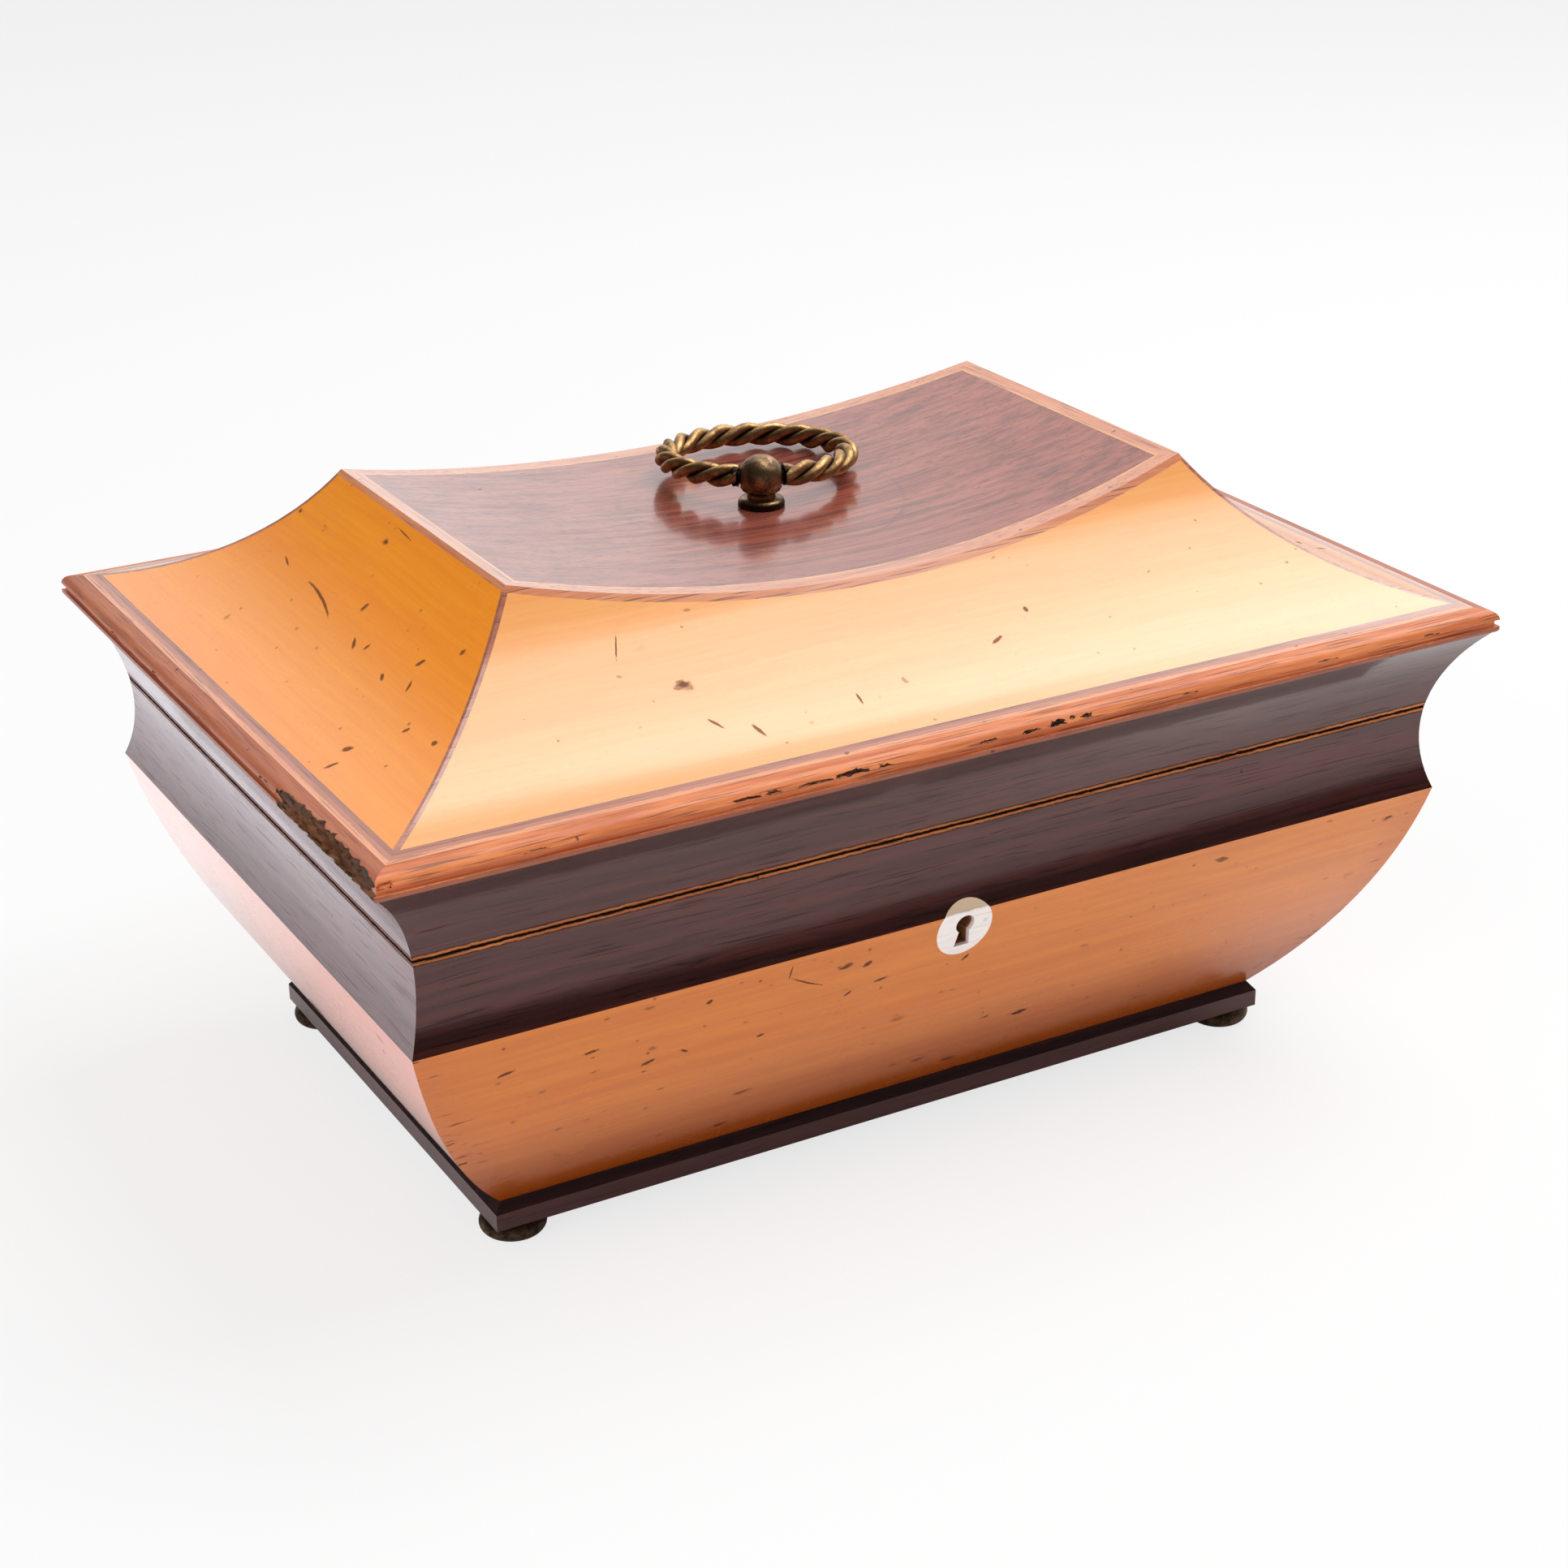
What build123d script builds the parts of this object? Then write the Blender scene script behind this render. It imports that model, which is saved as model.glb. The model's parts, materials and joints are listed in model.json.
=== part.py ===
from build123d import *
from math import asin, cos, degrees, hypot, radians, sin, sqrt
import os

# An antique work box of sarcophagus form: a swelling satinwood body on a dark plinth and bun feet,
# a hollow rosewood waist split by the lid joint, and a hinged lid whose coved sides rise to a
# saddle-shaped rosewood top with a brass ring handle.
# Sizes are in millimetres. X runs along the front, Y from front to back and Z up.
# The origin is under the middle of the box, on the surface that its feet stand on.
# The section of a side is drawn in (u, z): u is measured outwards from the edge of the rim, so what
# lies inside the rim has a negative u, and one section serves all four mitred sides.

# Outer form
box_length = 300.0
box_depth = 213.7
foot_height = 4.6
plinth_height = 6.9
body_height = 61.4
base_waist_height = 22.1
lid_waist_height = 21.4
rim_thickness = 5.4
lid_rise = 35.2
saddle_sag = 11.6
plinth_inset = 38.8
plinth_step = 2.0
arris_inset = 9.3
under_rim_inset = 1.1
panel_inset = 57.8
body_radius = 141.4
waist_radius = 40.3
cove_radius = 82.0
lid_gap = 0.2

# Boards, veneers and lines
veneer = 1.5
wall_inset = 27.0
moulding_inset = 17.5
floor_inset = 51.0
floor_board = 6.0
knee_height = 45.5
plinth_width = 14.0
plinth_bevel = 1.9
plinth_bevel_height = 2.4
seam_line_base = 1.35
seam_line_lid = 1.35
rim_edge_width = 4.7
rim_line_width = 2.4
rim_string_width = 1.3
rim_round_top = 2.6
rim_round_under = 1.2
hip_string_width = 1.6
band_width = 3.4
band_line_width = 0.7
top_board_thickness = 6.0
lid_wall = 8.0
paper = 0.5

# Feet
foot_radius = 8.2
foot_swell = 1.6
foot_inset = 7.2
foot_spigot_radius = 2.5
foot_spigot_length = 5.0

# Lift-out tray and its ledges
tray_height = 23.2
tray_top_gap = 1.6
tray_side_gap = 0.6
tray_wall = 3.0
tray_floor = 2.0
tray_divider = 2.2
tray_divider_drop = 3.0
tray_end_length = 59.0
tray_middle_depth = 56.0
finger_notch_radius = 11.0
ledge_width = 4.0
ledge_height = 4.0
cushion_gap = 0.3
cushion_crown = 2.2
cushion_belly_share = 0.35
cushion_foot_draw = 1.2
cushion_shoulder_draw = 0.5
cushion_edge_draw = 4.8
cushion_top_draw = 16.8
cushion_corner = 6.0

# Padded lining of the lid
pad_board_thickness = 2.0
pad_board_height = 26.5
pad_thickness = 2.2
pad_margin = 2.5
pad_corner = 5.0
pad_edge_round = 1.8

# Escutcheon and keyhole
escutcheon_width = 15.2
escutcheon_height = 15.6
escutcheon_thickness = 1.2
escutcheon_drop = 4.5
keyhole_rise = 1.1
keyhole_radius = 2.5
keyhole_slot_top = 2.2
keyhole_slot_foot = 4.2
keyhole_slot_length = 6.3

# Lock
lock_width = 64.0
lock_height = 36.0
lock_plate_thickness = 1.2
lock_case_width = 54.0
lock_case_depth = 8.0
lock_case_wall = 1.0
lock_selvedge = 1.6
bolt_thickness = 3.4
bolt_bar_height = 4.0
bolt_bar_drop = 15.0
bolt_lug_width = 3.0
bolt_finger_height = 2.4
bolt_finger_drop = 7.8
bolt_finger_thickness = 2.0
bolt_throw = 5.0
staple_spacing = 24.0
staple_thickness = 1.6
staple_width = 4.8
staple_drop = 9.4
staple_window = 3.6
staple_gap = 0.7
key_pin_radius = 1.1
key_pin_clear_of_face = 4.0
link_plate_length = 44.0
link_plate_thickness = 1.4
link_screw_end = 3.0
lock_screw_low = 3.0
lock_screw_high = 4.0
slip = 0.3

# Screws: one pattern for the lock, the link plate and the hinges
screw_head_radius = 1.8
screw_head_height = 1.1
screw_shank_radius = 0.9
screw_length = 7.0
screw_slot_width = 0.4
screw_slot_depth = 0.4

# Hinges
hinge_spacing = 170.0
hinge_length = 34.0
hinge_leaf = 1.4
hinge_leaf_depth = 11.0
hinge_knuckle_radius = 2.3
hinge_pin_radius = 1.0
hinge_pin_clearance = 0.05
hinge_stand_off = 1.4
hinge_lid_knuckle = 11.8
hinge_side_gap = 0.1
hinge_pocket_clearance = 0.3
hinge_screw_pitch = 12.0
hinge_screw_forward = 1.0
lid_opening = 100.0

# Ring handle
ball_radius = 5.6
ball_height = 7.6
ring_radius = 23.2
ring_rope_radius = 3.05
ring_pivot_radius = 1.5
ring_pivot_clearance = 0.05
ring_pivot_reach = 4.2
ring_ball_gap = 0.3
ring_panel_gap = 0.3
ring_swing = 26.0
ring_tilt_steps = 32
collar_radius = 5.9
collar_height = 2.2
collar_round = 1.5
neck_radius = 3.6
stud_radius = 2.0
stud_clearance = 0.05
stud_tail = 1.6
nut_across = 8.0
nut_height = 3.5
post_lift = 0.1

# Levels and places that follow from the sizes above
half_length = box_length / 2
half_depth = box_depth / 2
plinth_top = foot_height + plinth_height
arris_z = plinth_top + body_height
seam_z = arris_z + base_waist_height
base_top = seam_z - lid_gap / 2
lid_bottom = seam_z + lid_gap / 2
under_rim_z = seam_z + lid_waist_height
rim_top = under_rim_z + rim_thickness
panel_corner_z = rim_top + lid_rise
panel_half_length = half_length - panel_inset
saddle_radius = (panel_half_length ** 2 + saddle_sag ** 2) / (2 * saddle_sag)
panel_z = panel_corner_z - saddle_sag
saddle_axis_z = panel_z + saddle_radius
foot_u = -(plinth_inset + plinth_step)
floor_top = plinth_top + floor_board
knee_z = plinth_top + knee_height
ledge_top = base_top - tray_top_gap - tray_height
wall_u = -wall_inset
reach = 40.0


def arc_centre(start, end, radius, side):
    """Centre of the arc of this radius from start to end: side 1 puts it on the left, -1 on the right."""
    run_u = end[0] - start[0]
    run_z = end[1] - start[1]
    half = hypot(run_u, run_z) / 2
    rise = side * sqrt(radius ** 2 - half ** 2) / (2 * half)
    return ((start[0] + end[0]) / 2 - run_z * rise, (start[1] + end[1]) / 2 + run_u * rise)


body_centre = arc_centre((foot_u, plinth_top), (-arris_inset, arris_z), body_radius, 1)
waist_centre = arc_centre((-arris_inset, arris_z), (-under_rim_inset, under_rim_z), waist_radius, -1)
cove_centre = arc_centre((0, rim_top), (-panel_inset, panel_corner_z), cove_radius, -1)


def waist_u(z):
    """Outer face of the hollow waist at this height."""
    return waist_centre[0] - sqrt(waist_radius ** 2 - (z - waist_centre[1]) ** 2)


def body_u(z):
    """Outer face of the swelling body at this height."""
    return body_centre[0] + sqrt(body_radius ** 2 - (z - body_centre[1]) ** 2)


# Drawing helpers

def area(u0, z0, u1, z1):
    return Pos((u0 + u1) / 2, (z0 + z1) / 2) * Rectangle(abs(u1 - u0), abs(z1 - z0))


def disc(centre, radius):
    return Pos(centre[0], centre[1]) * Circle(radius)


def ring_area(centre, inner, outer):
    return disc(centre, outer) - disc(centre, inner)


def shape(*points):
    return make_face(Polyline(*points, close=True))


def block(x0, x1, y0, y1, z0, z1):
    return Pos((x0 + x1) / 2, (y0 + y1) / 2, (z0 + z1) / 2) * Box(abs(x1 - x0), abs(y1 - y0), abs(z1 - z0))


def rod(start, end, radius):
    """A plain round bar from start to end."""
    line = Line(start, end)
    return extrude(Plane(origin=start, z_dir=line % 0) * Circle(radius), line.length)


side_turn = {"front": 0, "right": 90, "back": 180, "left": 270}


def bar(section, side):
    """The section drawn straight along one side, past both corners."""
    across = side in ("front", "back")
    run = half_length if across else half_depth
    away = half_depth if across else half_length
    plane = Plane(origin=(0, -away, 0), x_dir=(0, -1, 0), z_dir=(-1, 0, 0))
    return Rot(0, 0, side_turn[side]) * extrude(plane * section, run + reach, both=True)


def mitre(side):
    """The wedge of space, seen from above, that one side's pieces may fill."""
    across = side in ("front", "back")
    run = half_length if across else half_depth
    away = half_depth if across else half_length
    plan = shape((0, run - away), (run + reach, -away - reach), (-run - reach, -away - reach))
    return Rot(0, 0, side_turn[side]) * extrude(plan, panel_corner_z + reach)


def mitred(section, side):
    return bar(section, side) & mitre(side)


def saddle_body(depth):
    """All that lies above the saddle-shaped top, lowered by this depth."""
    round_area = Pos(0, saddle_axis_z) * Circle(saddle_radius + depth)
    return extrude(Plane.XZ * round_area, half_depth + reach, both=True)


def saddle_shell(upper, lower):
    """The layer between two depths under the saddle-shaped top."""
    band = ring_area((0, saddle_axis_z), saddle_radius + upper, saddle_radius + lower)
    top = area(-half_length, panel_z - lower - reach, half_length, panel_corner_z + reach)
    return extrude(Plane.XZ * (band & top), half_depth, both=True)


def save(name, *pieces):
    solids = [solid for piece in pieces for solid in piece.solids()]
    whole = solids[0] if len(solids) == 1 else Compound(solids)
    export_step(whole, f"parts/{name}.step")


# Screws

def screw(place, direction):
    """A countersunk screw with a slotted head; place is the middle of its head's face."""
    head = Pos(0, 0, -screw_head_height / 2) * Cone(screw_shank_radius, screw_head_radius, screw_head_height)
    shank_length = screw_length - screw_head_height
    shank = Pos(0, 0, -screw_head_height - shank_length / 2) * Cylinder(screw_shank_radius, shank_length)
    slot = Pos(0, 0, -screw_slot_depth / 2) * Box(3 * screw_head_radius, screw_slot_width, screw_slot_depth)
    out = (-direction[0], -direction[1], -direction[2])
    return Plane(origin=place, z_dir=out) * (head + shank - slot)


def screw_hole(place, direction):
    """The countersunk hole that the screw fills, open above its head."""
    head = Pos(0, 0, -screw_head_height / 2) * Cone(screw_shank_radius, screw_head_radius, screw_head_height)
    shank_length = screw_length - screw_head_height
    shank = Pos(0, 0, -screw_head_height - shank_length / 2) * Cylinder(screw_shank_radius, shank_length)
    out = (-direction[0], -direction[1], -direction[2])
    return Plane(origin=place, z_dir=out) * (head + shank)


# Base: boards, veneers, mouldings, plinth and feet

def base_board_section():
    outline = shape(
        (-floor_inset, plinth_top), (0, plinth_top), (0, arris_z), (-moulding_inset, arris_z),
        (-moulding_inset, base_top), (wall_u, base_top), (wall_u, knee_z), (-floor_inset, floor_top))
    return outline & disc(body_centre, body_radius - veneer)


def base_panel_section():
    skin = ring_area(body_centre, body_radius - veneer, body_radius)
    return skin & area(-floor_inset, plinth_top, reach, arris_z)


def base_moulding_section():
    return area(-moulding_inset, arris_z, 0, base_top) - disc(waist_centre, waist_radius)


def base_line_section():
    depth_u = waist_u(base_top) - veneer
    return area(depth_u, base_top - seam_line_base, 0, base_top) - disc(waist_centre, waist_radius)


def plinth_section():
    face = -plinth_inset
    return shape(
        (face - plinth_width, foot_height), (face, foot_height), (face, plinth_top - plinth_bevel_height),
        (face - plinth_bevel, plinth_top), (face - plinth_width, plinth_top))


def bottom_board():
    half_x = half_length - floor_inset
    half_y = half_depth - floor_inset
    return block(-half_x, half_x, -half_y, half_y, plinth_top, floor_top)


def foot_places():
    x = half_length - plinth_inset - foot_inset
    y = half_depth - plinth_inset - foot_inset
    return [(sx * x, sy * y) for sx in (-1, 1) for sy in (-1, 1)]


def foot():
    """A flattened bun turned with its spigot."""
    tread = foot_radius - foot_swell
    bulge = ThreePointArc((tread, 0), (foot_radius, foot_height / 2), (tread, foot_height))
    spigot_top = foot_height + foot_spigot_length
    rest = Polyline(
        (tread, foot_height), (foot_spigot_radius, foot_height), (foot_spigot_radius, spigot_top),
        (0, spigot_top), (0, 0), (tread, 0))
    return revolve(Plane.XZ * make_face(bulge + rest), Axis.Z)


def foot_holes():
    top = foot_height + foot_spigot_length
    holes = [Pos(x, y, (foot_height + top) / 2) * Cylinder(foot_spigot_radius, top - foot_height)
             for x, y in foot_places()]
    return holes[0] + holes[1] + holes[2] + holes[3]


def lining_paper():
    """The paper that lines the well: a floor and four sloping sides."""
    def well(inset):
        low_x = 2 * (half_length - floor_inset - inset)
        low_y = 2 * (half_depth - floor_inset - inset)
        high_x = 2 * (half_length - wall_inset - inset)
        high_y = 2 * (half_depth - wall_inset - inset)
        low = Plane.XY.offset(floor_top) * Rectangle(low_x, low_y)
        high = Plane.XY.offset(knee_z) * Rectangle(high_x, high_y)
        return loft([low, high])

    return well(0) - Pos(0, 0, paper) * well(paper)


def tray_ledge(side):
    """A strip on an end wall that carries the tray."""
    inner_y = half_depth - wall_inset
    x0 = half_length - wall_inset - ledge_width
    x1 = half_length - wall_inset
    return block(side * x0, side * x1, -inner_y, inner_y, ledge_top - ledge_height, ledge_top)


# Escutcheon and keyhole, seen from the front

escutcheon_z = arris_z - escutcheon_drop
keyhole_z = escutcheon_z + keyhole_rise


def front_prism(sketch, y0, y1):
    """A sketch in (x, z) pushed through from y0 to y1."""
    return extrude(Plane(origin=(0, y0, 0), x_dir=(1, 0, 0), z_dir=(0, -1, 0)) * sketch, y0 - y1)


def keyhole_area():
    slot_foot_z = keyhole_z - keyhole_slot_length
    slot = shape(
        (-keyhole_slot_top / 2, keyhole_z), (keyhole_slot_top / 2, keyhole_z),
        (keyhole_slot_foot / 2, slot_foot_z), (-keyhole_slot_foot / 2, slot_foot_z))
    return (Pos(0, keyhole_z) * Circle(keyhole_radius)) + slot


def front_skin_section(thickness):
    """The outer layer of the body and of the base's waist, where the escutcheon is let in."""
    lower = ring_area(body_centre, body_radius - thickness, body_radius)
    lower = lower & area(-floor_inset, plinth_top, reach, arris_z)
    upper = ring_area(waist_centre, waist_radius, waist_radius + thickness)
    upper = upper & area(-moulding_inset, arris_z, 0, base_top)
    return lower + upper


def escutcheon_blank():
    oval = Pos(0, escutcheon_z) * Ellipse(escutcheon_width / 2, escutcheon_height / 2)
    prism = front_prism(oval, -half_depth + moulding_inset, -half_depth - reach)
    return bar(front_skin_section(escutcheon_thickness), "front") & prism


def keyhole_cut():
    return front_prism(keyhole_area(), lock_plate_back, -half_depth - reach)


# Lock: let in from the inside of the front board

bay_front = -(half_depth - wall_inset)
lock_plate_back = bay_front - lock_plate_thickness
lock_case_back = lock_plate_back - lock_case_depth
lock_bottom = base_top - lock_height
case_bottom = lock_bottom + lock_case_wall
case_top = base_top - lock_selvedge
staple_front = bay_front - lock_plate_thickness - slip - staple_width
staple_back = bay_front - lock_plate_thickness - slip
staple_places = (-staple_spacing / 2, staple_spacing / 2)
bolt_back = lock_plate_back - slip
bolt_front = bolt_back - bolt_thickness
finger_back = bolt_back - (staple_width - bolt_finger_thickness) / 2
finger_front = finger_back - bolt_finger_thickness


def staple_slots(extra):
    cut = None
    for x in staple_places:
        half = staple_thickness / 2 + extra
        one = block(x - half, x + half, staple_front - 2 * extra, staple_back + slip, case_top, base_top)
        cut = one if cut is None else cut + one
    return cut


def lock_plate():
    """Back plate and selvedge, bent from one strip."""
    half = lock_width / 2
    back = block(-half, half, bay_front, lock_plate_back, lock_bottom, base_top)
    top = block(-half, half, bay_front, lock_case_back, case_top, base_top)
    plate = back + top - staple_slots(slip)
    for place in lock_screw_places():
        plate = plate - screw_hole(place, (0, -1, 0))
    return plate


def lock_screw_places():
    x = (lock_width + lock_case_width) / 4
    low = lock_bottom + lock_screw_low
    high = case_top - lock_screw_high
    return [(sx * x, bay_front, z) for sx in (-1, 1) for z in (low, high)]


def lock_case():
    half = lock_case_width / 2
    outer = block(-half, half, lock_plate_back, lock_case_back, case_bottom, case_top)
    inner = block(
        -half + lock_case_wall, half - lock_case_wall, lock_plate_back, lock_case_back + lock_case_wall,
        case_bottom + lock_case_wall, case_top)
    guide_top = base_top - bolt_bar_drop - slip
    guide = block(
        -half + lock_case_wall, half - lock_case_wall, lock_case_back + lock_case_wall, bolt_front,
        guide_top - lock_case_wall, guide_top)
    keyhole = front_prism(keyhole_area(), lock_plate_back, lock_case_back - lock_case_wall)
    return outer - inner + guide - keyhole


def lock_pocket():
    """What is cut from the front board to let the lock in."""
    half = lock_case_width / 2
    body = block(-half, half, bay_front, lock_case_back, case_bottom, base_top)
    wide = lock_width / 2
    back = block(-wide, wide, bay_front, lock_plate_back, lock_bottom, base_top)
    top = block(-wide, wide, bay_front, lock_case_back, case_top, base_top)
    return body + back + top


def lock_bolt():
    """A sliding bar with two hooks that pass through the staples of the link plate."""
    bar_top = base_top - bolt_bar_drop + bolt_bar_height
    finger_low = base_top - bolt_finger_drop
    finger_top = finger_low + bolt_finger_height
    staple_half = staple_thickness / 2
    first = staple_places[0] - staple_half - staple_gap
    last = staple_places[1] - staple_half - staple_gap
    finger_length = bolt_throw + staple_gap / 2
    piece = block(
        first - finger_length - bolt_lug_width, last - finger_length, bolt_front, bolt_back,
        base_top - bolt_bar_drop, bar_top)
    for tip in (first, last):
        root = tip - finger_length
        piece = piece + block(root - bolt_lug_width, root, bolt_front, bolt_back, bar_top, finger_top)
        piece = piece + block(root, tip, finger_front, finger_back, finger_low, finger_top)
    return piece


def key_pin():
    tip = -(half_depth + body_u(keyhole_z)) + key_pin_clear_of_face
    return rod((0, lock_plate_back, keyhole_z), (0, tip, keyhole_z), key_pin_radius)


def link_plate():
    """The lid's half of the lock: a plate with two pierced staples."""
    half = link_plate_length / 2
    top = lid_bottom + link_plate_thickness
    plate = block(-half, half, bay_front - slip, lock_case_back, lid_bottom, top)
    window_low = base_top - bolt_finger_drop - (staple_window - bolt_finger_height) / 2
    low = base_top - staple_drop
    thin = staple_thickness / 2
    for x in staple_places:
        staple = block(x - thin, x + thin, staple_front, staple_back, low, lid_bottom)
        window = block(
            x - staple_thickness, x + staple_thickness, finger_front - slip, finger_back + slip,
            window_low, window_low + staple_window)
        plate = plate + (staple - window)
    for place in link_screw_places():
        plate = plate - screw_hole(place, (0, 0, 1))
    return plate


def link_screw_places():
    x = link_plate_length / 2 - link_screw_end
    y = (bay_front - slip + lock_case_back) / 2
    return [(sx * x, y, lid_bottom) for sx in (-1, 1)]


# Hinges: two butts in the back boards, their knuckles half proud of the waist

hinge_y = half_depth + waist_u(seam_z) + hinge_stand_off
leaf_front_y = hinge_y - hinge_stand_off - hinge_leaf_depth
hinge_centres = (-hinge_spacing / 2, hinge_spacing / 2)


def knuckle(x0, x1):
    return rod((x0, hinge_y, seam_z), (x1, hinge_y, seam_z), hinge_knuckle_radius)


def knuckle_ranges(x, of_lid):
    """Lengths of barrel along X that belong to the lid's leaf or to the base's."""
    half = hinge_length / 2
    middle = hinge_lid_knuckle / 2
    if of_lid:
        return [(x - middle, x + middle)]
    return [(x - half, x - middle - hinge_side_gap), (x + middle + hinge_side_gap, x + half)]


def hinge_leaf_piece(x, of_lid):
    """A leaf with its knuckles and pin hole."""
    half = hinge_length / 2
    low, high = (lid_bottom, lid_bottom + hinge_leaf) if of_lid else (base_top - hinge_leaf, base_top)
    leaf_back_y = hinge_y - hinge_knuckle_radius - hinge_pocket_clearance
    leaf = block(x - half, x + half, leaf_front_y, leaf_back_y, low, high)
    for x0, x1 in knuckle_ranges(x, of_lid):
        tongue = block(x0, x1, leaf_back_y, hinge_y, low, high)
        leaf = leaf + tongue + knuckle(x0, x1)
    bore = rod((x - half - reach, hinge_y, seam_z), (x + half + reach, hinge_y, seam_z),
               hinge_pin_radius + hinge_pin_clearance)
    leaf = leaf - bore
    for place, direction in hinge_screw_places(x, of_lid):
        leaf = leaf - screw_hole(place, direction)
    return leaf


def hinge_screw_places(x, of_lid):
    y = (leaf_front_y + hinge_y - hinge_knuckle_radius) / 2 - hinge_screw_forward
    z = lid_bottom if of_lid else base_top
    direction = (0, 0, 1) if of_lid else (0, 0, -1)
    return [((x + step * hinge_screw_pitch, y, z), direction) for step in (-1, 0, 1)]


def hinge_pin(x):
    half = hinge_length / 2
    return rod((x - half, hinge_y, seam_z), (x + half, hinge_y, seam_z), hinge_pin_radius)


def hinge_cut(of_lid):
    """What is let out of the wood for both hinges."""
    low, high = (lid_bottom, lid_bottom + hinge_leaf) if of_lid else (base_top - hinge_leaf, base_top)
    cut = None
    for x in hinge_centres:
        half = hinge_length / 2 + hinge_pocket_clearance
        leaf = block(x - half, x + half, leaf_front_y, hinge_y, low, high)
        pocket = rod((x - half, hinge_y, seam_z), (x + half, hinge_y, seam_z),
                     hinge_knuckle_radius + hinge_pocket_clearance)
        one = leaf + pocket
        cut = one if cut is None else cut + one
    return cut


# Lid: boards, mouldings, rim, coves, hips and the saddle top

def lid_board_section():
    frame = shape(
        (wall_u, lid_bottom), (-moulding_inset, lid_bottom), (-moulding_inset, under_rim_z),
        (-rim_edge_width, under_rim_z), (-rim_edge_width, panel_corner_z), (wall_u, panel_corner_z))
    slope = ring_area(cove_centre, cove_radius + veneer, cove_radius + veneer + lid_wall)
    slope_low = lid_bottom + pad_board_height + pad_board_thickness
    slope = slope & area(-half_depth, slope_low, wall_u, panel_corner_z)
    return frame + slope - disc(cove_centre, cove_radius + veneer)


def lid_moulding_section():
    return area(-moulding_inset, lid_bottom, 0, under_rim_z) - disc(waist_centre, waist_radius)


def lid_line_section():
    depth_u = waist_u(lid_bottom) - veneer
    return area(depth_u, lid_bottom, 0, lid_bottom + seam_line_lid) - disc(waist_centre, waist_radius)


def rim_edge_section():
    """The rounded mahogany nose of the rim."""
    blank = area(-rim_edge_width, under_rim_z, 0, rim_top + rim_thickness) - disc(cove_centre, cove_radius)
    outer = [v for v in blank.vertices() if abs(v.X) < 0.01]
    low = min(outer, key=lambda v: v.Y)
    rounded = fillet(low, rim_round_under)
    high = max([v for v in rounded.vertices() if abs(v.X) < 0.01], key=lambda v: v.Y)
    return fillet(high, rim_round_top)


def rim_skin_section(outer_inset, width):
    """A line let in flush beside the rim's nose."""
    skin = ring_area(cove_centre, cove_radius, cove_radius + veneer)
    return skin & area(-outer_inset - width, under_rim_z, -outer_inset, panel_corner_z)


cove_start_inset = rim_edge_width + rim_line_width + rim_string_width


def cove_section():
    skin = ring_area(cove_centre, cove_radius, cove_radius + veneer)
    return skin & area(-half_depth, under_rim_z, -cove_start_inset, panel_corner_z + reach)


def hip_plates():
    """Thin upright plates on the four mitres, where the hip strings run."""
    plates = {}
    corners = ((-1, -1, "front_left"), (1, -1, "front_right"), (1, 1, "back_right"), (-1, 1, "back_left"))
    for sx, sy, name in corners:
        turn = 45 * sx * sy
        plate = Rot(0, 0, turn) * Box(2 * half_length, hip_string_width, 2 * panel_corner_z)
        corner = Pos(sx * half_length, sy * half_depth, panel_corner_z) * plate
        inside = block(0, sx * (half_length - cove_start_inset), 0, sy * (half_depth - cove_start_inset),
                       0, 2 * panel_corner_z)
        plates[name] = corner & inside
    return plates


def cove_cylinders(extra):
    """Everything outside the coved sides, pushed inwards by extra."""
    pieces = [bar(disc(cove_centre, cove_radius + extra), side) for side in side_turn]
    return pieces[0] + pieces[1] + pieces[2] + pieces[3]


def pad_board():
    half_x = half_length - wall_inset
    half_y = half_depth - wall_inset
    low = lid_bottom + pad_board_height
    return block(-half_x, half_x, -half_y, half_y, low, low + pad_board_thickness)


def silk_pad():
    """The padded lining under its board, crowned towards the middle and drawn in at its edges."""
    half_x = half_length - wall_inset - pad_margin
    half_y = half_depth - wall_inset - pad_margin
    top = lid_bottom + pad_board_height
    plan = RectangleRounded(2 * half_x, 2 * half_y, pad_corner)
    slab = extrude(Plane.XY.offset(top) * plan, -pad_thickness)
    edges = slab.edges().filter_by_position(Axis.Z, top - pad_thickness - 0.01, top - pad_thickness + 0.01)
    return fillet(edges, pad_edge_round)


# Ring handle

def swung(x, y):
    """A horizontal direction given in the handle's own turn, where Y points along the lying ring."""
    turn = radians(ring_swing)
    return (x * cos(turn) + y * sin(turn), -x * sin(turn) + y * cos(turn))


ball_z = panel_z + ball_height


def ring_tilt():
    """The steepest droop at which the lying ring still clears the saddle all the way round."""
    tilts = []
    for step in range(3 * ring_tilt_steps // 8, ring_tilt_steps + 1):
        angle = radians(step * 180 / ring_tilt_steps)
        away = ring_radius * (1 - cos(angle))
        x, y = swung(ring_radius * sin(angle), away)
        rise = saddle_radius - sqrt(saddle_radius ** 2 - x ** 2)
        tilts.append(asin((ball_height - ring_rope_radius - ring_panel_gap - rise) / away))
    return degrees(min(tilts))


def handle_place(piece):
    return Pos(0, 0, ball_z) * Rot(0, 0, -ring_swing) * piece


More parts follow.
